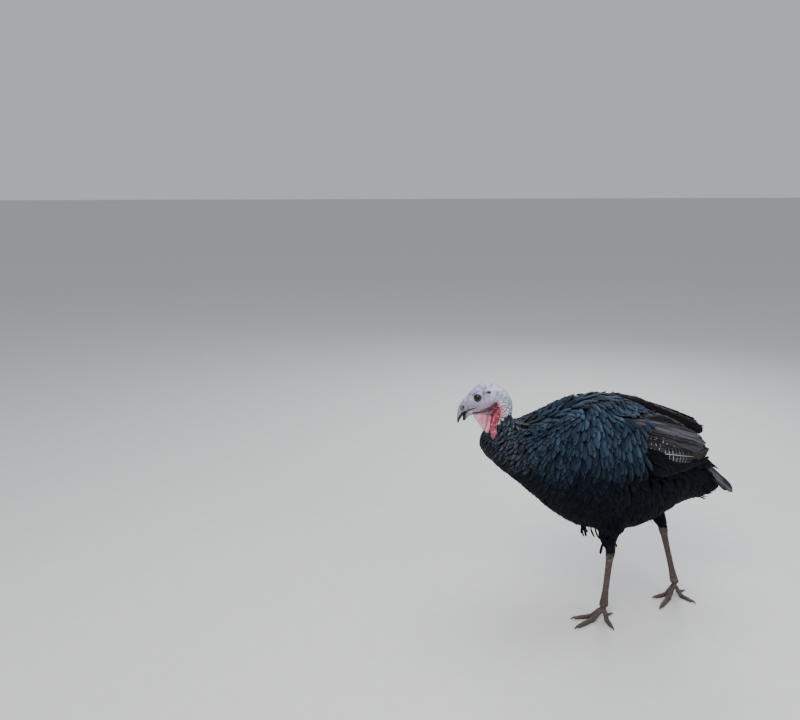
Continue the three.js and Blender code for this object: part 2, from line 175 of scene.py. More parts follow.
class Recipe:
    """Builds one material out of expressions."""

    def __init__(self, name):
        self.material = bpy.data.materials.new(name)
        self.material.use_nodes = True
        self.tree = self.material.node_tree
        self.tree.nodes.clear()
        self.shader = self.tree.nodes.new("ShaderNodeBsdfPrincipled")
        output = self.tree.nodes.new("ShaderNodeOutputMaterial")
        self.tree.links.new(self.shader.outputs[0], output.inputs["Surface"])

    def give(self, target, value):
        if isinstance(value, Flow):
            self.tree.links.new(value.socket, target)
        elif hasattr(target.default_value, "__len__"):
            held = list(value) if hasattr(value, "__len__") else [value] * len(target.default_value)
            target.default_value = (held + [1.0] * 4)[: len(target.default_value)]
        else:
            target.default_value = value

    def node(self, kind, settings=None, *values, take=0, **named):
        """One node: its settings first, then the values or links of its sockets."""
        made = self.tree.nodes.new(kind)
        for key, value in (settings or {}).items():
            setattr(made, key, value)
        for socket, value in zip(made.inputs, values):
            self.give(socket, value)
        for key, value in named.items():
            self.give(made.inputs[key], value)
        return Flow(self, made.outputs[take])

    def place(self):
        return self.node("ShaderNodeTexCoord", take=3)

    def field(self, name):
        """A number that the mesh holds at each vertex."""
        return self.node("ShaderNodeAttribute", {"attribute_name": name}, take=2)

    def noise(self, scale, detail=2.0, roughness=0.5, vector=None):
        return self.node(
            "ShaderNodeTexNoise",
            Vector=vector or self.place(),
            Scale=scale,
            Detail=detail,
            Roughness=roughness,
        )

    def cells(self, scale):
        return self.node("ShaderNodeTexVoronoi", Vector=self.place(), Scale=scale)

    def blend(self, low, high, amount):
        """The colour low, going over to high where amount is 1."""
        made = self.node("ShaderNodeMix", {"data_type": "RGBA", "clamp_factor": True}, take=2)
        for socket, value in ((0, amount), (6, low), (7, high)):
            self.give(made.socket.node.inputs[socket], value)
        return made

    def bump(self, height, strength, distance):
        return self.node("ShaderNodeBump", Height=height, Strength=strength, Distance=distance)

    def finish(self, **sockets):
        """Sets the surface shader's sockets, such as Base_Color or Roughness."""
        for key, value in sockets.items():
            self.give(self.shader.inputs[key.replace("_", " ")], value)
        return self.material


# ------------------------------------------------------------------ mesh helpers


def mesh_arrays(piece):
    """(points, triangles) of an object's mesh."""
    mesh = piece.data
    points = np.empty(len(mesh.vertices) * 3)
    mesh.vertices.foreach_get("co", points)
    mesh.calc_loop_triangles()
    corners = np.empty(len(mesh.loop_triangles) * 3, np.int32)
    mesh.loop_triangles.foreach_get("vertices", corners)
    return points.reshape(-1, 3), corners.reshape(-1, 3)


def new_piece(name, points, faces, smooth=True):
    """A mesh object from points and faces; faces is one array of equal rows or a list of arrays."""
    groups = faces if isinstance(faces, list) else [faces]
    mesh = bpy.data.meshes.new(name)
    mesh.vertices.add(len(points))
    mesh.vertices.foreach_set("co", np.asarray(points, np.float32).ravel())
    loops = np.concatenate([group.ravel() for group in groups]).astype(np.int32)
    counts = np.concatenate([np.full(len(group), group.shape[1]) for group in groups])
    starts = np.concatenate([[0], np.cumsum(counts)[:-1]]).astype(np.int32)
    mesh.loops.add(len(loops))
    mesh.loops.foreach_set("vertex_index", loops)
    mesh.polygons.add(len(counts))
    mesh.polygons.foreach_set("loop_start", starts)
    mesh.update(calc_edges=True)
    if smooth:
        mesh.polygons.foreach_set("use_smooth", np.ones(len(counts), bool))
    mesh.validate()
    piece = bpy.data.objects.new(name, mesh)
    bpy.context.scene.collection.objects.link(piece)
    return piece


def set_field(piece, name, values):
    held = piece.data.attributes.new(name, "FLOAT", "POINT")
    held.data.foreach_set("value", np.asarray(values, np.float32))


def set_map(piece, spots):
    """The OFBake map from one (u, v) for each vertex."""
    mesh = piece.data
    corner = np.empty(len(mesh.loops), np.int32)
    mesh.loops.foreach_get("vertex_index", corner)
    layer = mesh.uv_layers.new(name="OFBake")
    layer.data.foreach_set("uv", np.asarray(spots, np.float32)[corner].ravel())


def merged(parts):
    """(points, list of faces) of many (points, faces) parts."""
    points, faces, start = [], [], 0
    for part_points, part_faces in parts:
        points.append(part_points)
        faces.append(part_faces + start)
        start += len(part_points)
    return np.concatenate(points), faces


def joined(name, parts):
    """One object from (points, faces) parts."""
    return new_piece(name, *merged(parts))


def grown_nodes(nodes, grow):
    """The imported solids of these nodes, each grown a little so that thin gaps between them close."""
    parts = []
    for node in nodes:
        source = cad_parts[node]
        points, triangles = mesh_arrays(source)
        unique, index = np.unique(np.round(points, 7), axis=0, return_inverse=True)
        triangles = index.ravel()[triangles]
        normals = vertex_normals(unique, triangles)
        parts.append((unique + normals * grow, triangles))
    return parts


def vertex_normals(points, faces):
    triangles = faces if faces.shape[1] == 3 else triangles_of(faces)
    a, b, c = (points[triangles[:, k]] for k in range(3))
    flat = np.cross(b - a, c - a)
    normals = np.zeros_like(points)
    for k in range(3):
        np.add.at(normals, triangles[:, k], flat)
    return unit(normals)


def unit(vectors):
    return vectors / np.maximum(np.linalg.norm(vectors, axis=-1, keepdims=True), 1e-12)


def smooth_step(values, low, high):
    t = np.clip((values - low) / (high - low), 0.0, 1.0)
    return t * t * (3 - 2 * t)


def remeshed(piece, grain, smoothing=0):
    """The piece's outer surface in even quads, as (points, quads). The piece itself is removed."""
    voxels = piece.modifiers.new("grain", "REMESH")
    voxels.mode = "VOXEL"
    voxels.voxel_size = grain
    if smoothing:
        soft = piece.modifiers.new("soft", "SMOOTH")
        soft.factor = 0.5
        soft.iterations = smoothing
    graph = bpy.context.evaluated_depsgraph_get()
    mesh = bpy.data.meshes.new_from_object(piece.evaluated_get(graph))
    points = np.empty(len(mesh.vertices) * 3)
    mesh.vertices.foreach_get("co", points)
    corners = np.empty(len(mesh.loops), np.int32)
    mesh.loops.foreach_get("vertex_index", corners)
    bpy.data.objects.remove(piece)
    bpy.data.meshes.remove(mesh)
    return points.reshape(-1, 3), corners.reshape(-1, 4)


def tree_of(points, faces):
    return BVHTree.FromPolygons(points.tolist(), faces.tolist())


def wobble(points, size, seed, octaves=2):
    """Smooth chance variation over space, mostly between -1 and 1, from a few random waves."""
    chance = np.random.default_rng(seed)
    total = np.zeros(len(points))
    weight = 0.0
    for octave in range(octaves):
        for _ in range(7):
            way = unit(chance.normal(size=3)) * (2 * math.pi / size) * 2**octave * chance.uniform(0.7, 1.3)
            total += np.sin(points @ way + chance.uniform(0, 2 * math.pi)) * 0.5**octave
        weight += 2.2 * 0.5**octave
    return np.clip(total / weight, -1.5, 1.5)


def dress(piece, material, slot, *nodes):
    """Gives a piece its material, its body and the solids that it stands for; slot is not used."""
    piece.data.materials.clear()
    piece.data.materials.append(material)
    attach(piece, "root")
    if nodes:
        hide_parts(*nodes)


# ------------------------------------------------------------------ places on the bird


def middle(node):
    low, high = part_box(node)
    return np.array((low + high) / 2)


def edge(node, axis, end):
    """The lowest (0) or highest (1) place of a node along an axis."""
    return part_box(node)[end][axis]


EYE_MIDDLES = {side: middle(f"eye_{side}") for side in SIDES}
HEAD_LEFT = unit((EYE_MIDDLES["left"] - EYE_MIDDLES["right"]) * np.array([1, 1, 0]))
HEAD_UP = np.array([0.0, 0.0, 1.0])
HEAD_AHEAD = np.cross(HEAD_LEFT, HEAD_UP)
HEAD_MIDDLE = (EYE_MIDDLES["left"] + EYE_MIDDLES["right"]) / 2


def head_place(ahead, left, up):
    """A point given from the middle between the eyes, in millimetres ahead, left and up."""
    return HEAD_MIDDLE + (HEAD_AHEAD * ahead + HEAD_LEFT * left + HEAD_UP * up) * MM


def head_measures(points):
    """How far points lie ahead of, left of and above the middle between the eyes, in millimetres."""
    away = (points - HEAD_MIDDLE) / MM
    return away @ HEAD_AHEAD, away @ HEAD_LEFT, away @ HEAD_UP


BODY_FRONT = edge("neck_feathered", 1, 0)
BODY_BACK = edge("rump", 1, 1)
BODY_X = (edge("trunk", 0, 0) + edge("trunk", 0, 1)) / 2


def along_body(points):
    """0 at the ruff under the head, 1 at the feathers under the tail."""
    return (points[:, 1] - BODY_FRONT) / (BODY_BACK - BODY_FRONT)


def node_tree(*nodes):
    """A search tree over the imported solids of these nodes."""
    points, faces = merged(grown_nodes(nodes, 0.0))
    return tree_of(points, np.concatenate(faces))


def distances(points, tree):
    """How far each point lies from a tree's surface, in metres."""
    return np.array([tree.find_nearest(Vector(point))[3] for point in points])


# ------------------------------------------------------------------ the head's marks

# Marks of the head are (ahead, up) in millimetres from the middle between the eyes, as they look from a
# slant: from the side, a little from the front and from above. The slant is the shift for each millimetre
# of depth. A third number is a spot's radius or a line's half width. The numbers were fitted to be looked
# at along the slant, and the right side repeats the left.
SLANT_AHEAD = 0.063
SLANT_UP = 0.296
# Where an eye looks: parts ahead, outward and up.
EYE_AXIS = (0.18, 0.93, 0.32)
SNOOD_SPOT = (15.5, -5.7)
EYE_SMUDGE = (8.3, -0.6)
NOSTRIL = (23.2, -20.8)
NOSTRIL_BACK = (26.6, -24.8)
NOSTRIL_FIELD = (25.0, -22.4)
EAR = (-18.0, 5.4)
EAR_FOLD = (-18.2, 1.0)
BLUE_SPOT = (9.4, -13.7)
GREEN_SPOT = (13.6, -19.2)
MOUTH = (
    (1.7, -21.7),
    (8.8, -23.3),
    (13.7, -25.6),
    (20.8, -29.8),
    (26.4, -33.6),
    (28.9, -38.1),
    (33.4, -45.0),
)
JAW = (
    (6.7, -30.1, 1.0),
    (-0.4, -29.4, 1.2),
    (-7.4, -27.6, 1.9),
    (-18.0, -23.5, 3.4),
    (-25.0, -19.8, 4.0),
    (-31.4, -13.2, 2.2),
)
# The next marks give a painted highlight along the lower bill's upper edge and the skin behind it.
JAW_HIGHLIGHT = ((12.5, -29.2), (5.0, -27.2), (-2.5, -25.6))
THROAT = (
    (-32.4, -13.0, 1.6),
    (-33.0, -20.0, 5.6),
    (-33.2, -29.0, 8.2),
    (-31.2, -38.0, 8.8),
    (-27.6, -44.0, 7.0),
    (-25.0, -51.0, 5.2),
    (-24.0, -56.0, 5.0),
)
BLUSH = (
    (-33.5, -9.0, 1.5),
    (-38.0, -15.0, 3.2),
    (-40.0, -22.0, 3.4),
    (-41.0, -30.0, 3.0),
    (-41.0, -36.0, 2.0),
    (-35.5, -43.5, 1.6),
)
DARK_RED = (
    (-29.5, -16.5, 5.0),
    (-32.8, -13.5, 3.4),
    (-33.6, -22.5, 1.8),
    (-38.4, -27.5, 1.5),
    (-20.5, -24.5, 3.0),
    (-24.0, -21.8, 3.4),
    (-36.3, -21.0, 2.4),
    (-29.0, -32.6, 2.0),
    (-24.2, -34.0, 1.9),
    (-34.5, -38.5, 1.7),
    (-23.7, -45.0, 2.2),
    (-28.8, -45.5, 1.6),
    (-24.0, -53.5, 2.4),
)
BEADS = (
    (-45.1, -34.7, 2.9),
    (-41.9, -40.4, 2.9),
    (-34.2, -47.3, 3.6),
    (-37.2, -45.2, 2.6),
    (-53.2, -18.3, 2.5),
    (-44.0, -14.5, 2.0),
    (-50.4, -23.6, 2.6),
    (-45.5, -22.1, 2.2),
    (-49.0, -28.4, 2.8),
    (-40.5, -16.0, 1.8),
    (-42.6, -25.9, 2.2),
    (-44.2, -30.2, 1.9),
)
KNOBS = (
    (-28.5, -36.6, 3.4),
    (-26.8, -42.6, 3.0),
    (-34.2, -35.1, 2.6),
    (-35.6, -29.8, 2.2),
    (-30.0, -30.5, 2.5),
    (-33.2, -24.6, 2.0),
    (-32.4, -41.0, 2.4),
    (-28.6, -47.6, 2.6),
    (-27.8, -25.2, 2.2),
    (-37.8, -33.6, 1.8),
    (-25.6, -49.5, 2.3),
)


def eye_axis(side):
    """The direction in which one eye looks."""
    sign = 1 if side == "left" else -1
    ahead, left, up = EYE_AXIS
    return unit(HEAD_AHEAD * ahead + HEAD_LEFT * left * sign + HEAD_UP * up)


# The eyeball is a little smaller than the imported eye. Its middle is set outward so that the fronts meet.
BALL = 0.0072
PACKED_EYE = max(edge("eye_left", axis, 1) - edge("eye_left", axis, 0) for axis in range(3)) / 2
EYES = {side: EYE_MIDDLES[side] - eye_axis(side) * (BALL - PACKED_EYE) for side in SIDES}


def seen_measures(points):
    """(ahead, up) as points look from the slant, the same on both sides of the head."""
    ahead, left, up = head_measures(points)
    depth = np.abs(left)
    return ahead - SLANT_AHEAD * depth, up - SLANT_UP * depth


def spot_mask(seen, place, ahead_size, up_size):
    """1 in the middle of a soft oval spot."""
    return np.exp(-(((seen[0] - place[0]) / ahead_size) ** 2) - ((seen[1] - place[1]) / up_size) ** 2)


def path_distance(seen, places):
    """Distance from a line through marks, less the line's own half width there, in millimetres."""
    spots = np.stack(seen, axis=1)
    best = np.full(len(spots), 1e9)
    for start, end in zip(places[:-1], places[1:]):
        origin, way = np.array(start[:2]), np.array(end[:2]) - np.array(start[:2])
        part = np.clip((spots - origin) @ way / (way @ way), 0, 1)
        away = np.linalg.norm(spots - origin - part[:, None] * way, axis=1)
        if len(start) > 2:
            away = away - (start[2] * (1 - part) + end[2] * part)
        best = np.minimum(best, away)
    return best


def on_head(tree, place, side):
    """Where a mark of the head meets the skin on one side, with the skin's normal."""
    sign = 1 if side == "left" else -1
    ahead, up = place[:2]
    toward = unit(HEAD_AHEAD * SLANT_AHEAD + HEAD_LEFT * sign + HEAD_UP * SLANT_UP)
    start = head_place(ahead, 0, up) + toward * 0.06
    spot, normal, _, _ = tree.ray_cast(Vector(start), Vector(-toward), 0.08)
    if spot is None:
        spot, normal, _, _ = tree.find_nearest(Vector(head_place(ahead, 12 * sign, up)))
    return np.array(spot), np.array(normal)


def ball(centre, radius, stretch=(1, 1, 1), rings=10, sides=14):
    """(points, faces) of an ellipsoid in triangles."""
    points = [[0, 0, 1]]
    for ring in range(1, rings):
        slope = math.pi * ring / rings
        for side in range(sides):
            turn = 2 * math.pi * side / sides
            wide = math.sin(slope)
            points.append([wide * math.cos(turn), wide * math.sin(turn), math.cos(slope)])
    points.append([0, 0, -1])
    last = len(points) - 1
    faces = []
    for side in range(sides):
        after = (side + 1) % sides
        faces.append([0, 1 + side, 1 + after])
        faces.append([last, last - sides + after, last - sides + side])
        for ring in range(rings - 2):
            a = 1 + ring * sides
            faces.append([a + side, a + sides + side, a + sides + after])
            faces.append([a + side, a + sides + after, a + after])
    return np.array(points) * radius * np.array(stretch) + centre, np.array(faces)


def caruncles(tree, seed):
    """Rounded lumps of bare skin: parts for the mesh, and (centre, radius, redness) rows."""
    chance = np.random.default_rng(seed)
    parts, rows = [], []

    def grow(place, side, size, redness, sunk, rings, sides):
        spot, normal = on_head(tree, place, side)
        centre = spot - normal * size * sunk
        parts.append(ball(centre, size, chance.uniform(0.82, 1.15, 3), rings, sides))
        rows.append((*centre, size, redness))

    for side in SIDES:
        for group, redness in ((BEADS, 0.0), (KNOBS, 1.0)):
            for ahead, up, radius in group:
                grow((ahead, up), side, radius * MM * chance.uniform(0.92, 1.06), redness, 0.25, 10, 14)
        for _ in range(120):
            turn = chance.uniform(-1, 1)
            ahead = -39 + 13 * turn - chance.uniform(0, 6)
            up = -24 + chance.uniform(-26, 16)
            if ahead > -36 and up > -12:
                continue
            reach = -34 - 5 * smooth_step(-up, 13, 20) - chance.uniform(0, 3)
            red = 1.0 if ahead > reach else 0.0
            grow((ahead, up), side, chance.uniform(0.7, 1.7) * MM, red, 0.35, 6, 9)
    return parts, np.array(rows)


# ------------------------------------------------------------------ skin


def eye_frame(side):
    """(axis, across, upward) directions of one eye's opening."""
    axis = eye_axis(side)
    across = unit(np.cross(axis, HEAD_UP))
    return axis, across, np.cross(across, axis)


def lid_shape(turn):
    """How far the opening reaches at an angle round it, against a circle."""
    return 1 + 0.075 * np.cos(2 * turn) + 0.02 * np.cos(turn)


def seat_eyes(points, sizes):
    """Moves head skin so that it hugs each eyeball and opens over it."""
    opening = math.asin(min(0.95, sizes.eye_opening / BALL))
    for side in SIDES:
        away = points - EYES[side]
        reach = np.linalg.norm(away, axis=1)
        axis, across, upward = eye_frame(side)
        angle = np.arccos(np.clip((away / reach[:, None]) @ axis, -1, 1))
        angle = angle / lid_shape(np.arctan2(away @ upward, away @ across))
        near = reach < BALL * 2.4
        inside = near & (angle < opening + 0.08)
        wanted = reach.copy()
        wanted[inside] = np.minimum(reach[inside], BALL - 1.0 * MM)
        outside = near & ~inside & (reach > BALL * 0.55) & (angle < 1.9)
        above = smooth_step((away / reach[:, None])[:, 2], 0.1, 0.7)
        fade = np.exp(-(((angle - opening - 0.45) / 0.35) ** 2))
        ripple = (0.12 + 0.26 * above) * MM * np.sin((angle - opening) * 23) * fade
        floor = BALL + 0.42 * MM + ripple
        slope = smooth_step(angle, opening + 0.15, opening + 0.9)
        socket = floor + np.maximum(reach - floor, 0) * slope + ripple * slope
        wanted[outside] = socket[outside]
        points = EYES[side] + away / reach[:, None] * wanted[:, None]
    return points


def lid_ring(side, sizes):
    """(points, faces, darkness) of the rim of skin round one eye; the third marks its dark inner edge and, as
    painted shade, its lower half.
    """
    axis, across, upward = eye_frame(side)
    opening = math.asin(min(0.95, sizes.eye_opening / BALL))
    lid = sizes.lid_height
    profile = (
        (-0.05, -0.9 * MM, 1.0),
        (-0.03, 0.08 * MM, 1.0),
        (0.01, 0.3 * MM, 1.0),
        (0.05, 0.4 * MM + lid * 0.2, 0.9),
        (0.10, 0.4 * MM + lid * 0.4, 0.5),
        (0.16, 0.4 * MM + lid * 0.4, 0.15),
        (0.24, 0.45 * MM, 0.0),
        (0.40, 0.4 * MM, 0.0),
        (0.54, -0.7 * MM, 0.0),
        (0.2, -1.8 * MM, 0.0),
    )
    count = 64
    points, rim_dark_and_shade = [], []
    for step in range(count):
        turn = 2 * math.pi * step / count
        # Painted shade: the rim darker over its lower half and lighter at the top, as light falls from above.
        shade = 0.5 - 0.48 * math.sin(turn)
        for angle, rise, dark in profile:
            slope = (opening + angle) * lid_shape(turn)
            rise += 0.06 * MM * math.sin(turn * 19 + angle * 30) * (0.05 < angle < 0.3)
            aside = across * math.cos(turn) + upward * math.sin(turn)
            way = axis * math.cos(slope) + aside * math.sin(slope)
            points.append(EYES[side] + way * (BALL + rise))
            rim_dark_and_shade.append(max(dark, shade))
    rows = len(profile)
    faces = []
    for step in range(count):
        for row in range(rows):
            a = step * rows + row
            b = step * rows + (row + 1) % rows
            shift = ((step + 1) % count - step) * rows
            faces.append([a, b, b + shift, a + shift])
    return np.array(points), np.array(faces), np.array(rim_dark_and_shade)


def edge_ends(quads):
    """The two ends of every side of every quad."""
    return np.concatenate([quads, np.roll(quads, -1, axis=1)]).reshape(2, -1)


def averaging(count, quads):
    """A function that gives each of count points the mean of its neighbours' values."""
    ends = edge_ends(quads)
    near = np.bincount(ends[0], minlength=count) + np.bincount(ends[1], minlength=count)

    def around(values):
        total = np.zeros_like(values)
        np.add.at(total, ends[0], values[ends[1]])
        np.add.at(total, ends[1], values[ends[0]])
        return total / near.reshape((-1,) + (1,) * (values.ndim - 1))

    return around


def hollows(points, quads, normals, passes=2):
    """How hollow the surface is at each point: about 1 in a crease and below 0 on a ridge."""
    ends = edge_ends(quads)
    around = averaging(len(points), quads)
    size = np.median(np.linalg.norm(points[ends[0]] - points[ends[1]], axis=1))
    value = ((around(points) - points) * normals).sum(axis=1) / size * 7
    for _ in range(passes):
        value = (value + around(value)) / 2
    return value


def evened(points, quads, weight, passes):
    """Points drawn towards the middle of their neighbours where weight is 1."""
    around = averaging(len(points), quads)
    for _ in range(passes):
        points = points + (around(points) - points) * weight[:, None]
    return points


def triangles_of(quads):
    return np.concatenate([quads[:, [0, 1, 2]], quads[:, [0, 2, 3]]])


def pleats(ahead, up):
    """(main, second): millimetres across from the two pleats of the throat fold."""
    main = np.interp(up, (-62.0, -52.6, -41.0, -28.0), (-11.4, -13.8, -17.4, -18.4))
    return ahead - main, ahead + 8.5 - 0.10 * (up + 45)


def head_skin(sizes):
    """(points, quads, bead rows, dewlap mask, hollows) of the bare head and neck."""
    grain = sizes.skin_grain
    core = joined("head_core", grown_nodes(("head", "neck_bare", "snood"), 0.25 * MM))
    points, quads = remeshed(core, grain * 1.35, 22)
    bill = node_tree("bill_upper", "bill_lower")
    over_bill = 1 - smooth_step(distances(points, bill), 0.0008, 0.004)
    points = points + vertex_normals(points, quads) * (over_bill * 0.45 * MM)[:, None]
    lumps, rows = caruncles(tree_of(points, quads), sizes.seed)
    folds = joined("folds_core", grown_nodes(("dewlap", "wattle_left", "wattle_right"), 0.2 * MM))
    fold_points, fold_quads = remeshed(folds, grain, 6)
    wattles = node_tree("wattle_left", "wattle_right")
    far = distances(fold_points, wattles)
    knobbly = 1 - smooth_step(far, 0.001, 0.003)
    swell = 0.75 * wobble(fold_points, 0.0085, sizes.seed + 6, 1)
    swell += 0.3 * wobble(fold_points, 0.004, sizes.seed + 7)
    fold_points = fold_points + vertex_normals(fold_points, fold_quads) * (knobbly * swell * MM)[:, None]
    masses = [(points, triangles_of(quads)), (fold_points, triangles_of(fold_quads))]
    points, quads = remeshed(joined("head_all", masses + lumps), grain, 2)
    dewlap = smooth_step(0.0015 - distances(points, node_tree("dewlap")), 0, 0.001)
    smooth_fold = dewlap * smooth_step(distances(points, wattles), 0.0005, 0.002)
    points = evened(points, quads, smooth_fold * 0.8, 8)
    normals = vertex_normals(points, quads)
    seen = seen_measures(points)
    ahead, left, up = head_measures(points)
    outer = smooth_step(np.abs(left), 5, 8)
    rise = 0.10 * wobble(points, 0.0046, sizes.seed + 1) + 0.09 * wobble(points, 0.0018, sizes.seed + 2)
    wrinkle = np.exp(-((wobble(points, 0.0075, sizes.seed + 14, 1) / 0.16) ** 2))
    wrinkle += 0.7 * np.exp(-((wobble(points, 0.0048, sizes.seed + 15, 1) / 0.14) ** 2))
    rise -= 0.26 * wrinkle
    rise = rise * (1 - 0.8 * dewlap)
    cheek = smooth_step(-seen[1], 8, 14) * smooth_step(seen[0], -40, -22) * (1 - smooth_step(seen[0], 4, 12))
    slope = seen[1] * 1.9 + seen[0] * 0.45 + 1.8 * wobble(points, 0.02, sizes.seed + 3)
    rise += 0.2 * cheek * np.sin(slope)
    nape = smooth_step(-seen[0], 20, 34) * smooth_step(-seen[1], -12, 8)
    wave = seen[1] * 0.72 + seen[0] * 0.14 + 1.5 * wobble(points, 0.016, sizes.seed + 4)
    cross = seen[0] * 0.5 + 2.2 * wobble(points, 0.02, sizes.seed + 9) + np.floor(wave / math.pi) * 1.7
    ridge = np.abs(np.sin(wave)) ** 0.6 * (0.45 + 0.55 * np.abs(np.sin(cross)) ** 0.6)
    rise += nape * (1.15 * ridge - 0.6)
    behind_eye = np.exp(-(((seen[0] + 24) / 6) ** 2) - ((seen[1] + 5) / 8) ** 2) * outer
    rise += 0.2 * behind_eye * np.sin(seen[0] * 2.3 + 1.5 * wobble(points, 0.012, sizes.seed + 10))
    rise -= 0.6 * np.exp(-((path_distance(seen, MOUTH[:3]) / 1.1) ** 2)) * outer
    rise -= 2.4 * spot_mask(seen, EAR, 4.2, 2.6) * outer
    across_ear = seen[0] - EAR[0]
    ear_fold = seen[1] - EAR_FOLD[1] - 0.06 * across_ear**2
    rise += 0.9 * np.exp(-((across_ear / 5.0) ** 2) - (ear_fold / 1.4) ** 2) * outer
    rise += 0.45 * spot_mask(seen, (EAR[0], EAR[1] + 4.2), 4.8, 1.4) * outer
    rise -= 0.5 * spot_mask(seen, EYE_SMUDGE, 1.8, 1.8) * outer
    jaw_edge = path_distance(seen, ((13.0, -32.2), (0.5, -31.5), (-8.0, -29.8), (-16.0, -27.4)))
    rise -= 0.55 * np.exp(-((jaw_edge / 0.9) ** 2)) * smooth_step(np.abs(left), 2, 5)
    main, second = pleats(ahead, up)
    sunk = 1.7 * np.exp(-((main / 2.0) ** 2)) + 0.9 * np.exp(-((second / 2.2) ** 2))
    rise -= dewlap * sunk * smooth_step(-up, 28, 36)
    rise += 0.6 * dewlap * np.exp(-(((main - 4.0) / 1.9) ** 2))
    points = evened(points + normals * rise[:, None] * MM, quads, smooth_fold * 0.8, 3)
    points = seat_eyes(points, sizes)
    # The hollows feed the painted shade in the skin's creases.
    hollow = hollows(points, quads, vertex_normals(points, quads), 4) * (1 - 0.75 * smooth_fold)
    return points, quads, rows, dewlap, hollow


def bare_distance(points):
    """How far points lie from the bare neck and the bare shanks."""
    return distances(points, node_tree("neck_bare", "shank_left", "shank_right"))


def coat_depths(points, depth):
    """How deep the skin lies inside the plumage: hardly at all next to bare skin."""
    return depth * (0.08 + 0.92 * smooth_step(bare_distance(points), 0.0, 0.04))


def body_skin(sizes):
    """(points, quads) of the skin that the plumage grows from, kept below the feathers' surface."""
    nodes = ("trunk", "neck_feathered", "rump", "neck_bare") + tuple(
        f"{part}_{side}" for part in ("wing", "thigh") for side in SIDES
    )
    points, quads = remeshed(joined("body_core", grown_nodes(nodes, 0.25 * MM)), 0.0046, 5)
    depth = coat_depths(points, sizes.coat_depth) + 0.0006
    hull = shared_hull(sizes)
    for part in (0.6, 1.0):
        spots, outward = hull.nearest(points)
        over = ((points - spots) * outward).sum(axis=1)
        sink = np.maximum(over + depth * part, 0)
        points = points - outward * sink[:, None]
    return points, quads


class Limb:
    """A shank or toe: its node, its own search tree and the straight line along its middle."""

    def __init__(self, node, back):
        self.node = node
        self.tree = node_tree(node)
        points, _ = mesh_arrays(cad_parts[node])
        self.middle = points.mean(axis=0)
        self.way = np.linalg.svd(points - self.middle, full_matrices=False)[2][0]
        if self.way @ back < 0:
            self.way = -self.way
        self.front = unit(np.cross(np.cross(self.way, self.top()), self.way))

    def top(self):
        """The side that carries the broad plates: the front of a shank and the top of a toe."""
        return np.array([0.0, -1.0, 0.0]) if self.node.startswith("shank") else HEAD_UP

    def measures(self, points):
        """(millimetres along, angle round from the top) of points on this limb."""
        away = points - self.middle
        side = np.cross(self.way, self.front)
        return away @ self.way / MM, np.arctan2(away @ side, away @ self.front)


def leg_skin(side, sizes):
    """(points, quads, plates) of one shank with its toes; plates is 1 on a scale and 0 in a groove."""
    nodes = [f"shank_{side}"] + [f"toe_{toe}_{side}" for toe in TOES]
    limbs = [Limb(node, np.array([0.0, -1.0, -0.4])) for node in nodes]
    points, quads = remeshed(joined(f"leg_core_{side}", grown_nodes(nodes, 0.22 * MM)), sizes.leg_grain, 7)
    normals = vertex_normals(points, quads)
    reach = np.stack([distances(points, limb.tree) for limb in limbs])
    owner = reach.argmin(axis=0)
    plates = np.ones(len(points))
    for index, limb in enumerate(limbs):
        mine = owner == index
        along, turn = limb.measures(points[mine])
        shank = index == 0
        pitch = 4.6 if shank else 3.6
        broad = smooth_step(np.cos(turn), 0.1, 0.5)
        offset = np.where(turn > 0, 0.0, 0.5) if shank else 0.0
        place = (along / pitch + offset + 0.12 * np.abs(turn)) % 1.0
        across = np.exp(-((np.minimum(place, 1 - place) / 0.13) ** 2))
        split = np.exp(-((turn / 0.13) ** 2)) if shank else 0.0
        fine_along = (along / (pitch * 0.55)) % 1.0
        fine_turn = (turn / 0.55 + 0.5 * (np.floor(along / (pitch * 0.55)) % 2)) % 1.0
        fine = np.maximum(
            np.exp(-((np.minimum(fine_along, 1 - fine_along) / 0.2) ** 2)),
            np.exp(-((np.minimum(fine_turn, 1 - fine_turn) / 0.2) ** 2)),
        )
        groove = broad * np.maximum(across, split) + (1 - broad) * fine * 0.8
        plates[mine] = 1 - groove
    low = smooth_step(points[:, 2], 0.0006, 0.003)
    rise = (plates - 0.75) * 0.55 * low
    return points + normals * rise[:, None] * MM, quads, plates


FIELDS = (
    "cheek",
    "blue",
    "grey",
    "red",
    "dark_red",
    "jaw",
    "jaw_light",
    "fold",
    "pleat",
    "wattle",
    "bead",
    "lid",
    "pit",
    "crease",
    "leg",
    "plate",
    "coat",
)


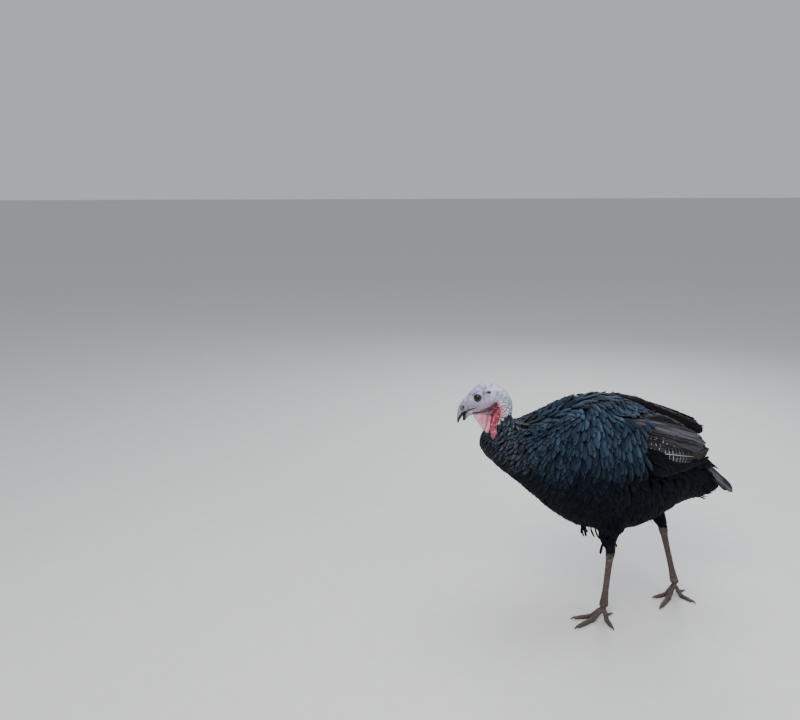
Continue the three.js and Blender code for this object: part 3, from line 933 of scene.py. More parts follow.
def head_fields(points, rows, dewlap, crease, sizes):
    """Masks of the head's colours: 0 where a colour is missing and 1 where it is full."""
    seen = seen_measures(points)
    ahead, left, up = head_measures(points)
    soft = wobble(points, 0.006, sizes.seed + 11)
    fine = wobble(points, 0.0028, sizes.seed + 12)
    outer = smooth_step(np.abs(left), 3, 7)
    masks = {name: np.zeros(len(points)) for name in FIELDS}
    masks["cheek"] = smooth_step(-seen[1] + 1.6 * soft, 2, 15) * smooth_step(seen[0] + 2 * soft, -42, -20)
    forehead = 0.5 * spot_mask(seen, (6.0, 5.0), 13, 13) * (0.7 + 0.5 * soft)
    masks["blue"] = np.maximum(spot_mask(seen, BLUE_SPOT, 5.4, 2.9) * outer, np.clip(forehead, 0, 1))
    masks["grey"] = np.maximum.reduce(
        [
            spot_mask(seen, GREEN_SPOT, 3.6, 1.8) * 0.7,
            spot_mask(seen, SNOOD_SPOT, 2.7, 2.3) * 1.2,
            spot_mask(seen, EYE_SMUDGE, 2.0, 1.8),
            spot_mask(seen, (-3.9, -11.4), 3.4, 2.4) * 0.5,
        ]
    )
    throat = path_distance(seen, THROAT) + 1.1 * soft + 0.7 * fine
    masks["red"] = 1 - smooth_step(throat, -1.2, 2.2)
    for *place, size in DARK_RED:
        masks["dark_red"] = np.maximum(masks["dark_red"], spot_mask(seen, place, size, size * 1.2))
    masks["jaw"] = 1 - smooth_step(path_distance(seen, JAW) + 0.5 * fine, -1.2, 1.8)
    masks["jaw_light"] = 1 - smooth_step(path_distance(seen, JAW_HIGHLIGHT), 0.5, 1.5)
    wattles = distances(points, node_tree("wattle_left", "wattle_right"))
    masks["wattle"] = smooth_step(0.0022 - wattles, 0, 0.0014)
    blush = 1 - smooth_step(path_distance(seen, BLUSH) + 1.2 * soft + 0.9 * fine, -1.6, 2.4)
    masks["fold"] = np.maximum(dewlap * (1 - masks["wattle"]), 0.7 * blush)
    main, second = pleats(ahead, up)
    # Painted shade along the sunk pleat lines of the throat fold.
    line = np.exp(-((main / 1.1) ** 2)) + 0.4 * np.exp(-((second / 1.4) ** 2))
    masks["pleat"] = np.clip(dewlap * line, 0, 1) * smooth_step(-up, 27, 34)
    for x, y, z, size, redness in rows:
        near = 1 - smooth_step(np.linalg.norm(points - np.array([x, y, z]), axis=1), size * 0.8, size * 1.15)
        kind = "red" if redness > 0.5 else "bead"
        masks[kind] = np.maximum(masks[kind], near * (1.0 if size > 1.75 * MM else 0.55))
    for side in SIDES:
        away = points - EYES[side]
        reach = np.linalg.norm(away, axis=1)
        angle = np.arccos(np.clip((away / reach[:, None]) @ eye_axis(side), -1, 1))
        close = (reach < BALL * 1.6) & (angle < 1.5)
        upper_lid = smooth_step((away / reach[:, None])[:, 2], 0.2, 0.6)
        # Darker round each eye: the lids' own dark skin, painted shade that is stronger below the eye, and a
        # dark arc over the upper lid.
        eye_dark_and_shade = close * (1 - smooth_step(angle, 0.7, 1.25)) * (0.75 - 0.45 * upper_lid)
        arc = close * upper_lid * np.exp(-(((angle - 1.28) / 0.1) ** 2))
        eye_dark_and_shade = np.maximum(eye_dark_and_shade, 0.6 * arc)
        masks["lid"] = np.maximum(masks["lid"], eye_dark_and_shade)
    # Painted shade in the ear opening and along the gape.
    gape = 1 - smooth_step(path_distance(seen, MOUTH[:3]) + 0.1 * (8.8 - seen[0]), 0.2, 1.7)
    masks["pit"] = np.maximum(spot_mask(seen, EAR, 5.2, 3.2), gape) * outer
    # Painted shade: how hollow the skin is, for darkening its creases.
    masks["crease"] = np.clip(crease, 0, 1)
    return masks


def skin_material(look):
    """Bare skin of head and neck, scaly skin of the legs, and dark skin under the plumage."""
    mix = Recipe("turkey_skin")
    grain = mix.noise(520, 4, 0.6)
    mottle = mix.noise(110, 3, 0.6)
    patches = mix.noise(45, 2)
    pebbles = mix.cells(820)
    crease = mix.field("crease")
    red = mix.field("red")
    tints = mix.noise(70, 3, 0.6)
    paint = mix.blend(look.crown, [value * 0.42 for value in look.crown], mottle.step(0.42, 0.62))
    paint = mix.blend(paint, (0.38, 0.29, 0.40), patches.step(0.45, 0.6) * 0.7)
    paint = mix.blend(paint, (0.24, 0.36, 0.42), tints.step(0.48, 0.64) * 0.55)
    # Pale specks: painted highlights scattered at random over the skin.
    paint = mix.blend(paint, (0.66, 0.68, 0.76), mix.noise(260, 3, 0.7).step(0.54, 0.7) * 0.7)
    paint = mix.blend(paint, look.cheek, mix.field("cheek") * (mottle * 0.5 + 0.62))
    paint = mix.blend(paint, look.blue, mix.field("blue") * 0.85)
    paint = mix.blend(paint, (0.17, 0.20, 0.215), mix.field("grey") * 0.8)
    paint = mix.blend(paint, look.jaw, mix.field("jaw") * (0.8 + grain * 0.3))
    # Painted highlight along the lower bill's upper edge, on the skin.
    paint = mix.blend(paint, (0.50, 0.40, 0.40), mix.field("jaw_light") * 0.9)
    flush = mix.blend(look.red, (0.52, 0.16, 0.21), mottle.step(0.45, 0.6))
    knob_light_and_shade = mix.noise(190, 2, 0.5)
    # Painted highlights on the knobs and painted shade between them, placed at random by noise.
    flush = mix.blend(flush, (0.70, 0.26, 0.31), knob_light_and_shade.step(0.54, 0.66) * 0.75)
    flush = mix.blend(flush, (0.11, 0.012, 0.026), (1 - knob_light_and_shade).step(0.54, 0.66) * 0.75)
    flush = mix.blend(flush, (0.13, 0.016, 0.030), tints.step(0.46, 0.6) * 0.7)
    paint = mix.blend(paint, flush, red)
    paint = mix.blend(paint, (0.060, 0.009, 0.016), mix.field("dark_red") * (mottle * 0.4 + 0.9))
    fold = mix.blend(look.fold, (0.60, 0.40, 0.44), mottle.step(0.4, 0.6))
    fold = mix.blend(fold, (0.50, 0.13, 0.20), patches.step(0.46, 0.62) * 0.5)
    # Painted shade in the pleats of the throat fold.
    fold = mix.blend(fold, (0.22, 0.085, 0.12), mix.field("pleat") * 0.75)
    paint = mix.blend(paint, fold, mix.field("fold"))
    # The wattles' lobes get the same painted highlights on knobs and painted shade between them.
    lobe = mix.blend((0.34, 0.055, 0.085), (0.62, 0.21, 0.27), knob_light_and_shade.step(0.53, 0.64) * 0.7)
    lobe = mix.blend(lobe, (0.09, 0.010, 0.020), (1 - knob_light_and_shade).step(0.53, 0.64) * 0.8)
    paint = mix.blend(paint, lobe, mix.field("wattle") * (mottle * 0.35 + 0.75))
    paint = mix.blend(paint, look.bead, mix.field("bead") * (grain * 0.3 + 0.72))
    # Dark lids round the eyes, with painted shade below the eye.
    paint = mix.blend(paint, (0.014, 0.013, 0.018), mix.field("lid"))
    # Painted shade in the skin's hollows, tinted dark red on red skin and pink on the throat fold.
    deep = mix.blend((0.13, 0.105, 0.13), (0.055, 0.004, 0.008), red.larger(mix.field("wattle")))
    deep = mix.blend(deep, (0.36, 0.13, 0.17), mix.field("fold"))
    paint = mix.blend(paint, deep, crease.step(0.06, 0.5) * 0.85)
    # Painted shade: near black in the ear opening and along the gape.
    paint = mix.blend(paint, (0.016, 0.010, 0.018), mix.field("pit").step(0.1, 0.95))
    specks = mix.cells(300).step(0.15, 0.05) * mix.noise(70).step(0.5, 0.6) * (1 - red)
    paint = mix.blend(paint, (0.05, 0.045, 0.06), specks * 0.7)
    scale = mix.blend([value * 0.3 for value in look.leg], look.leg, mix.field("plate").step(0.25, 0.8))
    scale = mix.blend(scale, [min(1, value * 1.8) for value in look.leg], mix.noise(160, 3).step(0.5, 0.75))
    paint = mix.blend(paint, scale, mix.field("leg"))
    paint = mix.blend(paint, look.black, mix.field("coat"))
    height = pebbles * 0.5 + grain * 0.5 + mottle * 0.4
    return mix.finish(
        Base_Color=paint,
        Roughness=0.5 + grain * 0.16 + mix.field("coat") * 0.3,
        Normal=mix.bump(height, 0.5, 0.0006),
        Subsurface_Weight=0.06,
        Subsurface_Scale=0.0015,
        Specular_IOR_Level=0.3,
    )


def make_skin(sizes, look):
    points, quads, rows, dewlap, crease = head_skin(sizes)
    parts = [(points, quads)]
    masks = [head_fields(points, rows, dewlap, crease, sizes)]

    def add(points, quads, **known):
        parts.append((points, quads))
        values = {name: np.zeros(len(points)) for name in FIELDS}
        for name, value in known.items():
            values[name] = np.broadcast_to(value, len(points))
        masks.append(values)

    for side in SIDES:
        points, quads, rim_dark_and_shade = lid_ring(side, sizes)
        add(points, quads, lid=0.22 + 0.78 * rim_dark_and_shade)
        points, quads, plates = leg_skin(side, sizes)
        add(points, quads, leg=1.0, plate=plates)
    points, quads = body_skin(sizes)
    add(points, quads, coat=1.0)
    skin = joined("skin", parts)
    for name in FIELDS:
        set_field(skin, name, np.concatenate([mask[name] for mask in masks]))
    nodes = ["head", "neck_bare", "snood", "dewlap", "trunk", "neck_feathered", "rump"]
    for side in SIDES:
        nodes += [f"{part}_{side}" for part in ("wattle", "wing", "thigh", "shank")]
        nodes += [f"toe_{toe}_{side}" for toe in TOES]
    dress(skin, skin_material(look), "bare_skin", *nodes)


# ------------------------------------------------------------------ eyes, bill and claws


def eye_material():
    mix = Recipe("turkey_eye")
    turn = mix.field("from_axis")
    streaks = mix.noise(900, 2)
    iris = turn.step(0.34, 0.42) * (streaks * 0.6 + 0.5)
    paint = mix.blend((0.0010, 0.0010, 0.0014), (0.006, 0.0045, 0.005), iris)
    paint = mix.blend(paint, (0.003, 0.0025, 0.003), turn.step(0.6, 0.7))
    return mix.finish(
        Base_Color=paint,
        Roughness=0.12 + streaks * 0.04,
        Specular_IOR_Level=0.32,
        Normal=mix.bump(streaks, 0.04, 0.0003),
    )


def make_eyes():
    material = eye_material()
    for side in SIDES:
        axis = eye_axis(side)
        points, faces = ball(np.zeros(3), 1.0, rings=40, sides=56)
        angle = np.arccos(np.clip(points @ axis, -1, 1))
        reach = BALL + 0.1 * MM * np.exp(-((angle / 0.5) ** 2))
        eye = new_piece(f"eyeball_{side}", points * reach[:, None] + EYES[side], faces)
        set_field(eye, "from_axis", angle)
        dress(eye, material, "eye", f"eye_{side}")


def bill_material(look):
    mix = Recipe("turkey_bill")
    grain = mix.noise(300, 4, 0.6)
    streak = mix.noise(130, 3, vector=mix.node("ShaderNodeMapping", None, mix.place(), Scale=(1, 1, 4)))
    paint = mix.blend(look.horn, [value * 0.62 for value in look.horn], streak.step(0.42, 0.7))
    paint = mix.blend(paint, (0.055, 0.055, 0.07), mix.field("field") * (0.6 + grain * 0.5))
    # Painted highlight along the lower bill's upper edge.
    paint = mix.blend(paint, (0.46, 0.37, 0.36), mix.field("light"))
    paint = mix.blend(paint, look.jaw, mix.field("brown"))
    paint = mix.blend(paint, look.horn_dark, mix.field("dark"))
    # Painted shade in the nostril's opening and just behind it.
    paint = mix.blend(paint, (0.006, 0.005, 0.007), mix.field("nostril"))
    return mix.finish(
        Base_Color=paint,
        Roughness=0.4 + grain * 0.2,
        Normal=mix.bump(grain + streak * 0.5, 0.3, 0.0005),
        Specular_IOR_Level=0.35,
    )


def close_mouth(points, upper):
    """Lifts the lower bill's upper edge to the upper bill, except near the tip, and slims its underside."""
    ahead, _, up = head_measures(points)
    low = np.interp(ahead, np.linspace(ahead.min(), ahead.max(), 12), lowest_along(ahead, up))
    lift = np.zeros(len(points))
    for index, point in enumerate(points):
        hit, _, _, gap = upper.ray_cast(Vector(point), Vector(HEAD_UP), 0.007)
        if hit is not None:
            lift[index] = max(gap - 0.25 * MM, 0)
    weight = smooth_step(up - low, 0.5, 2.5) * (1 - smooth_step(ahead, 22, 26))
    slim = smooth_step(ahead, 6, 15) * (1 - smooth_step(ahead, 21, 26)) * (1 - smooth_step(up - low, 0, 4))
    return points + HEAD_UP * (lift * weight + slim * 2.4 * MM)[:, None]


def lowest_along(ahead, up):
    """The lowest up in 12 slices of ahead."""
    centres = np.linspace(ahead.min(), ahead.max(), 12)
    half = (centres[1] - centres[0]) * 0.75
    return [up[np.abs(ahead - centre) < half].min() for centre in centres]


def make_bill(sizes, look):
    material = bill_material(look)
    mouth_line = np.array(MOUTH)
    upper = node_tree("bill_upper")
    for part in ("upper", "lower"):
        points, quads = remeshed(joined(f"{part}_core", grown_nodes((f"bill_{part}",), 0.12 * MM)), 0.0006, 6)
        if part == "lower":
            points = close_mouth(points, upper)
        normals = vertex_normals(points, quads)
        seen = seen_measures(points)
        _, left, _ = head_measures(points)
        outer = smooth_step(np.abs(left), 1.0, 2.5)
        above = seen[1] - np.interp(seen[0], mouth_line[:, 0], mouth_line[:, 1])
        masks = {name: np.zeros(len(points)) for name in ("dark", "light", "brown", "nostril", "field")}
        rise = 0.07 * wobble(points, 0.003, sizes.seed + 21)
        if part == "upper":
            nostril = spot_mask(seen, NOSTRIL, 1.5, 2.9) * outer
            brow = spot_mask(seen, (NOSTRIL[0] - 2.2, NOSTRIL[1] + 0.5), 1.5, 3.4) * outer
            rise += -1.6 * nostril + 0.5 * brow - 0.5 * spot_mask(seen, NOSTRIL_BACK, 1.4, 2.0) * outer
            rise -= 0.25 * np.exp(-(((above - 0.8) / 0.7) ** 2)) * outer
            band = np.interp(seen[0], (12, 17, 22, 29), (0.2, 2.0, 3.8, 4.6)) + 0.5 * wobble(points, 0.004, 9)
            masks["dark"] = 1 - smooth_step(above, band - 1.2, band)
            # The nostril's near black is painted shade in its opening, with a little behind it.
            behind = smooth_step(spot_mask(seen, NOSTRIL_BACK, 1.3, 1.8), 0.4, 0.9)
            masks["nostril"] = np.maximum(smooth_step(nostril, 0.35, 0.8), 0.8 * behind)
            masks["field"] = smooth_step(spot_mask(seen, NOSTRIL_FIELD, 4.4, 6.6), 0.25, 0.8) * outer
        else:
            # The light mask is a painted highlight along the upper edge of the lower bill.
            under = path_distance(seen, JAW_HIGHLIGHT)
            masks["light"] = 1 - smooth_step(under, 0.7, 1.6)
            masks["brown"] = 1 - smooth_step(path_distance(seen, JAW), 0.0, 1.4)
            masks["dark"] = np.maximum(smooth_step(seen[0], 17, 20.5), 1 - smooth_step(-above, 1.6, 3.0))
        piece = new_piece(f"{part}_bill", points + normals * rise[:, None] * MM, quads)
        for name, values in masks.items():
            set_field(piece, name, values)
        dress(piece, material, "horn", f"bill_{part}")


def claw_material():
    mix = Recipe("turkey_claw")
    grain = mix.noise(260, 4, 0.6)
    tip = mix.field("tip")
    paint = mix.blend((0.085, 0.066, 0.058), (0.028, 0.022, 0.021), tip.step(0.1, 0.7))
    paint = mix.blend(paint, (0.15, 0.125, 0.11), grain.step(0.58, 0.8) * 0.6)
    return mix.finish(
        Base_Color=paint,
        Roughness=0.38 + grain * 0.22,
        Normal=mix.bump(grain, 0.35, 0.0004),
    )


def make_claws():
    parts, tips, nodes = [], [], []
    for side in SIDES:
        for toe in TOES:
            node = f"claw_{toe}_{side}"
            nodes.append(node)
            points, quads = remeshed(joined(f"{node}_core", grown_nodes((node,), 0.1 * MM)), 0.0006, 4)
            start = np.array(middle(f"toe_{toe}_{side}"))
            reach = np.linalg.norm((points - start)[:, :2], axis=1)
            tips.append((reach - reach.min()) / (reach.max() - reach.min()))
            parts.append((points, quads))
    claws = joined("claws", parts)
    set_field(claws, "tip", np.concatenate(tips))
    dress(claws, claw_material(), "claw", *nodes)


# ------------------------------------------------------------------ the surface that feathers lie on

COAT_NODES = ("trunk", "neck_feathered", "rump", "wing_left", "wing_right", "thigh_left", "thigh_right")
QUILL_NODES = tuple(f"{part}_{side}" for part in ("secondaries", "primaries") for side in SIDES)
BARE_NODES = ("neck_bare", "shank_left", "shank_right", "tail")
HULL_NODES = COAT_NODES + QUILL_NODES + BARE_NODES
# How far from the body's middle plane the folded wings begin.
WING_INSIDE = 0.045
# Where the wings' covert solids end behind and the flight feathers come out.
COVERTS_END = edge("wing_left", 1, 1)
# Feathers over a wing, above the flank line and from the first distance outward, stop at the coverts' edge.
# No root lies nearer to it than the margin. Tips that pass it by more than the reach are cut back, but keep
# 70 % of their length.
COVERT_INSIDE = 0.036
COVERT_MARGIN = 0.006
COVERT_REACH = 0.009
# Half the width of the grooves between neighbouring solids that the plumage lies straight across.
BRIDGE = 0.004
# Places tried for feather roots, and the size of the cells in which their neighbours are looked for.
ROOT_TRIES = 90000
ROOT_CELL = 0.012


def flank_line(y):
    """The height on a folded wing below which flank feathers lie over it."""
    back = (-0.03, -0.017, 0.0, 0.018, 0.05, 0.086, 0.1, 0.15)
    return np.interp(y - COVERTS_END, back, (0.39, 0.377, 0.364, 0.351, 0.347, 0.338, 0.331, 0.30))


def covert_edge(points):
    """How far back the back's feathers reach over a folded wing."""
    left = np.interp(points[:, 2], (0.37, 0.39, 0.405, 0.42), (-0.024, -0.012, -0.006, 0.010))
    right = 0.075 * smooth_step(points[:, 2], 0.385, 0.405) * (points[:, 0] < BODY_X)
    return COVERTS_END + left + right


# How feathers hang on the bird's sides: share of the way from neck to rump, then back and up.
FLOW_SIDE = np.array(
    [
        [0.0, -0.7, -0.7],
        [0.1, -0.6, -0.8],
        [0.18, -0.42, -0.9],
        [0.27, -0.12, -0.99],
        [0.42, 0.06, -1.0],
        [0.62, 0.14, -0.99],
        [0.74, 0.4, -0.92],
        [0.86, 0.62, -0.78],
        [1.0, 0.77, -0.64],
    ]
)


class Hull:
    """The outer form of the plumage, with searches for the nearest place on it."""

    def __init__(self, grain):
        points, self.quads = remeshed(joined("hull_core", grown_nodes(HULL_NODES, BRIDGE)), grain, 8)
        self.points = points - vertex_normals(points, self.quads) * (BRIDGE - 0.25 * MM)
        self.points = evened(self.points, self.quads, np.full(len(points), 0.5), 2)
        self.tree = tree_of(self.points, self.quads)
        normals = vertex_normals(self.points, self.quads)
        self.face_normals = unit(normals[self.quads].mean(axis=1))
        flow = combed(self.points, normals)
        ends = edge_ends(self.quads)
        for _ in range(6):
            total = flow * 2
            np.add.at(total, ends[0], flow[ends[1]])
            np.add.at(total, ends[1], flow[ends[0]])
            flow = unit(total - normals * (total * normals).sum(axis=1, keepdims=True))
        self.face_flow = unit(flow[self.quads].mean(axis=1))

    def nearest(self, places):
        """(points on the hull, their normals) nearest to places."""
        spots = np.empty_like(places)
        faces = np.empty(len(places), int)
        for index, place in enumerate(places):
            spot, _, face, _ = self.tree.find_nearest(Vector(place))
            spots[index] = spot
            faces[index] = face
        return spots, self.face_normals[faces]

    def owners(self):
        """(middles of the quads, index in HULL_NODES of the node nearest to each)."""
        centres = self.points[self.quads].mean(axis=1)
        reach = np.stack([distances(centres, node_tree(name)) for name in HULL_NODES])
        return centres, reach.argmin(axis=0)


def combed(points, normals):
    """The direction in which feathers lie at these places, before it is evened out."""
    part = along_body(points)
    side = np.stack(
        [
            np.zeros(len(points)),
            np.interp(part, FLOW_SIDE[:, 0], FLOW_SIDE[:, 1]),
            np.interp(part, FLOW_SIDE[:, 0], FLOW_SIDE[:, 2]),
        ],
        axis=1,
    )
    outward = np.sign(points[:, 0] - BODY_X) * 0.35
    back = np.stack([outward, np.ones(len(points)), np.full(len(points), -0.1)], axis=1)
    between = 0.03 * smooth_step(points[:, 1], COVERTS_END - 0.06, COVERTS_END)
    ridge = 1 - smooth_step(np.abs(points[:, 0] - BODY_X) - between, 0.002, 0.018)
    flat = np.maximum(ridge * smooth_step(normals[:, 2], 0.3, 0.8), smooth_step(-normals[:, 2], 0.6, 0.97))
    way = side * (1 - flat[:, None]) + back * flat[:, None]
    return unit(way - normals * (way * normals).sum(axis=1, keepdims=True))


def feather_sizes(points, sizes):
    """(length, width) of a feather rooted at each place."""
    share_along = along_body(points)
    grow = smooth_step(share_along, 0.02, 0.42)
    low = smooth_step(0.36 - points[:, 2], 0.0, 0.08)
    body = sizes.back_feather + (sizes.belly_feather - sizes.back_feather) * low
    lengths = sizes.neck_feather + (body - sizes.neck_feather) * grow
    widths = sizes.neck_width + (sizes.back_width - sizes.neck_width) * grow
    bare = smooth_step(bare_distance(points), 0.0, 0.035)
    tail = smooth_step(distances(points, node_tree("tail")), 0.003, 0.03)
    return lengths * (0.66 + 0.34 * bare) * (0.5 + 0.5 * tail), widths * (0.78 + 0.22 * bare)


def sow(hull, sizes, chance):
    """Roots of the small feathers: (points, normals, ways they lie, lengths, widths)."""
    centres, owner = hull.owners()
    a, b, c, d = (hull.points[hull.quads[:, k]] for k in range(4))
    whole = np.linalg.norm(np.cross(c - a, d - b), axis=1) / 2
    area = np.where(owner >= len(COAT_NODES), 0.0, whole)
    throat = np.flatnonzero(owner == HULL_NODES.index("neck_bare"))
    nape = smooth_step(-head_measures(centres[throat])[0], 36, 50)
    throat = throat[distances(centres[throat], node_tree("neck_feathered")) < 0.0075 + 0.0075 * nape]
    area[throat] = whole[throat]
    outer = np.abs(centres[:, 0] - BODY_X) > WING_INSIDE
    quills = (owner >= len(COAT_NODES)) & (owner < len(COAT_NODES) + len(QUILL_NODES))
    coverts = np.isin(owner, [HULL_NODES.index(f"wing_{side}") for side in SIDES])
    wing = outer & (quills | coverts)
    behind = centres[:, 1] > covert_edge(centres)
    low = centres[:, 2] < flank_line(centres[:, 1])
    lapped = wing & quills & (~behind | (low & (hull.face_normals[:, 2] > -0.9)))
    area[lapped] = whole[lapped]
    area[wing & behind & ~low] = 0
    area[outer & behind & ~low & (centres[:, 2] > 0.36)] = 0
    rear = np.flatnonzero(centres[:, 1] > edge("tail", 1, 0))
    rear = rear[distances(centres[rear], node_tree("tail")) < 0.005]
    area[rear[centres[rear, 1] > edge("tail", 1, 0) + 0.012]] = 0
    picks = chance.choice(len(area), size=ROOT_TRIES, p=area / area.sum())
    s, t = chance.random((2, ROOT_TRIES, 1))
    points = (a[picks] * (1 - s) + b[picks] * s) * (1 - t) + (d[picks] * (1 - s) + c[picks] * s) * t
    normals = hull.face_normals[picks]
    lengths, widths = feather_sizes(points, sizes)
    ways = hull.face_flow[picks]
    spacing = widths * sizes.feather_gap
    squash = np.clip(lengths * 0.3 / spacing, 1.0, 3.2)
    cells = np.floor(points / ROOT_CELL).astype(int)
    kept, grid = [], {}

    def crowded(index, cell):
        """Whether a kept root lies within this feather's oval."""
        way = ways[index]
        for step in product((-1, 0, 1), repeat=3):
            for other in grid.get((cell[0] + step[0], cell[1] + step[1], cell[2] + step[2]), ()):
                x, y, z = points[other] - points[index]
                along = x * way[0] + y * way[1] + z * way[2]
                across = x * x + y * y + z * z - along * along
                if across + (along / squash[index]) ** 2 < spacing[index] ** 2:
                    return True
        return False

    for index in range(ROOT_TRIES):
        cell = tuple(cells[index])
        if not crowded(index, cell):
            kept.append(index)
            grid.setdefault(cell, []).append(index)
    kept = np.array(kept)
    return points[kept], normals[kept], ways[kept], lengths[kept], widths[kept]


# ------------------------------------------------------------------ feathers

SMALL_FORM = {
    "along": np.array([0.0, 0.2, 0.42, 0.62, 0.8, 0.93, 1.0]),
    "wide": np.array([0.3, 0.64, 0.9, 1.0, 0.96, 0.76, 0.4]),
    "across": np.array([-1.0, -0.66, -0.3, 0.0, 0.3, 0.66, 1.0]),
    "round": 0.05,
}
LARGE_FORM = {
    "along": np.array([0.0, 0.08, 0.18, 0.3, 0.42, 0.54, 0.66, 0.77, 0.86, 0.93, 0.975, 1.0]),
    "wide": np.array([0.35, 0.62, 0.82, 0.93, 0.98, 1.0, 1.0, 0.99, 0.95, 0.84, 0.64, 0.36]),
    "across": np.array([-1.0, -0.72, -0.4, -0.09, 0.0, 0.09, 0.4, 0.72, 1.0]),
    "round": 0.035,
}


def vane_faces(rows, columns):
    """(quads of one feather, index in the top grid of each point of its underside)."""
    top = np.arange(rows * columns).reshape(rows, columns)
    under = top.copy()
    inner = top[1:-1, 1:-1]
    under[1:-1, 1:-1] = rows * columns + np.arange(inner.size).reshape(inner.shape)
    upper = np.stack([top[:-1, :-1], top[:-1, 1:], top[1:, 1:], top[1:, :-1]], axis=-1).reshape(-1, 4)
    lower = np.stack([under[:-1, :-1], under[1:, :-1], under[1:, 1:], under[:-1, 1:]], axis=-1).reshape(-1, 4)
    return np.concatenate([upper, lower]), inner.ravel()


def walked(hull, form, roots, ways, lengths, bends, loose):
    """Middle lines of feathers that start at roots and follow the hull: (spots, normals, headings).

    loose is 0 for a feather that lies on the hull and 1 for one that hangs straight.
    """
    along = form["along"]
    spots, normals = hull.nearest(roots)
    heading = ways.copy()
    lines = []
    for row in range(len(along)):
        if row:
            part = along[row] - along[row - 1]
            side = np.cross(normals, heading)
            heading = unit(heading + side * (bends * part)[:, None])
            moved = spots + heading * (lengths * part)[:, None]
            on_hull, new_normals = hull.nearest(moved)
            spots = on_hull + (moved - on_hull) * loose[:, None]
            normals = unit(new_normals + (normals - new_normals) * loose[:, None])
        off = (heading * normals).sum(axis=1, keepdims=True) * (1 - loose[:, None])
        heading = unit(heading - normals * off)
        sideways = np.sign(spots[:, 0] - BODY_X)[:, None] * np.array([[0.8, 0, 0]])
        facing = normals + sideways * loose[:, None]
        facing = unit(facing - heading * (facing * heading).sum(axis=1, keepdims=True))
        lines.append((spots, facing, heading))
    return tuple(np.stack(group, axis=1) for group in zip(*lines))


def followed(hull, form, side, curves):
    """Middle lines of feathers along curves of three (back, up) places on one folded wing."""
    sign = 1 if side == "left" else -1
    wing = node_tree(f"secondaries_{side}", f"primaries_{side}", f"wing_{side}")
    spots = np.empty((len(curves), len(form["along"]), 3))
    for index, (start, control, end) in enumerate(curves):
        for row, u in enumerate(form["along"]):
            y, z = (
                start[axis] * (1 - u) ** 2 + control[axis] * 2 * u * (1 - u) + end[axis] * u * u
                for axis in range(2)
            )
            spot = wing.ray_cast(Vector((BODY_X + sign * 0.3, y, z)), Vector((-sign, 0, 0)), 0.26)[0]
            spots[index, row] = spot or wing.find_nearest(Vector((BODY_X + sign * 0.1, y, z)))[0]
    return lined(hull, spots)


def lined(hull, spots):
    """(spots, normals, headings) of middle lines given by points near the hull."""
    flat, normals = hull.nearest(spots.reshape(-1, 3))
    spots = flat.reshape(spots.shape)
    normals = normals.reshape(spots.shape)
    heading = unit(np.gradient(spots, axis=1))
    heading = unit(heading - normals * (heading * normals).sum(axis=2, keepdims=True))
    return spots, normals, heading


def grow_vanes(hull, form, lines, lengths, widths, heights, rolls, camber, thick, tips, loose=None):
    """Many feathers laid along their middle lines: (points, faces, place along, place across and share of
    the full width of one feather's points, number of points in one feather).

    heights gives (at the root, at the middle, at the tip) above the hull. rolls tilts each feather
    about its shaft. tips jitters the outline of the end.
    """
    along, wide, across = form["along"], form["wide"], form["across"]
    spots, normals, headings = lines
    count, rows, columns = len(lengths), len(along), len(across)
    loose = np.zeros(count) if loose is None else loose
    top = np.empty((count, rows, columns, 3))
    for row, u in enumerate(along):
        spot, normal, heading = spots[:, row], normals[:, row], headings[:, row]
        side = np.cross(normal, heading)
        height = heights[:, 0] * (1 - u) ** 2 + heights[:, 1] * 2 * u * (1 - u) + heights[:, 2] * u**2
        rounding = form["round"] * smooth_step(np.array([u]), 0.5, 1.0)[0]
        fringe = smooth_step(np.array([u]), 0.8, 1.0)[0]
        for column, v in enumerate(across):
            reach = v * wide[row] * widths / 2 * (1 + tips[:, (row + column) % columns] * (abs(v) > 0.9) * 2)
            back = (rounding * v * v - fringe * tips[:, column]) * lengths
            place = spot + side * reach[:, None] - heading * back[:, None]
            rest, outward = hull.nearest(place)
            rest = rest + (place - rest) * loose[:, None]
            outward = unit(outward + (normal - outward) * loose[:, None])
            lift = height + rolls * reach - camber * widths * v * v * wide[row]
            top[:, row, column] = rest + outward * lift[:, None]
    faces, inner = vane_faces(rows, columns)
    flat = top.reshape(count, rows * columns, 3)
    facing = unit(
        np.cross(
            top[:, 1:-1, 2:] - top[:, 1:-1, :-2],
            top[:, 2:, 1:-1] - top[:, :-2, 1:-1],
        )
    ).reshape(count, -1, 3)
    facing = facing * np.sign((facing * normals.mean(axis=1)[:, None, :]).sum(axis=2, keepdims=True))
    points = np.concatenate([flat, flat[:, inner] - facing * thick], axis=1)
    stride = points.shape[1]
    all_faces = (faces[None] + (np.arange(count) * stride)[:, None, None]).reshape(-1, 4)
    u_grid, v_grid = np.meshgrid(along, across, indexing="ij")
    w_grid = np.repeat(wide, columns)
    u_all = np.concatenate([u_grid.ravel(), u_grid.ravel()[inner]])
    v_all = np.concatenate([v_grid.ravel(), v_grid.ravel()[inner]])
    w_all = np.concatenate([w_grid, w_grid[inner]])
    return points.reshape(-1, 3), all_faces, u_all, v_all, w_all, stride


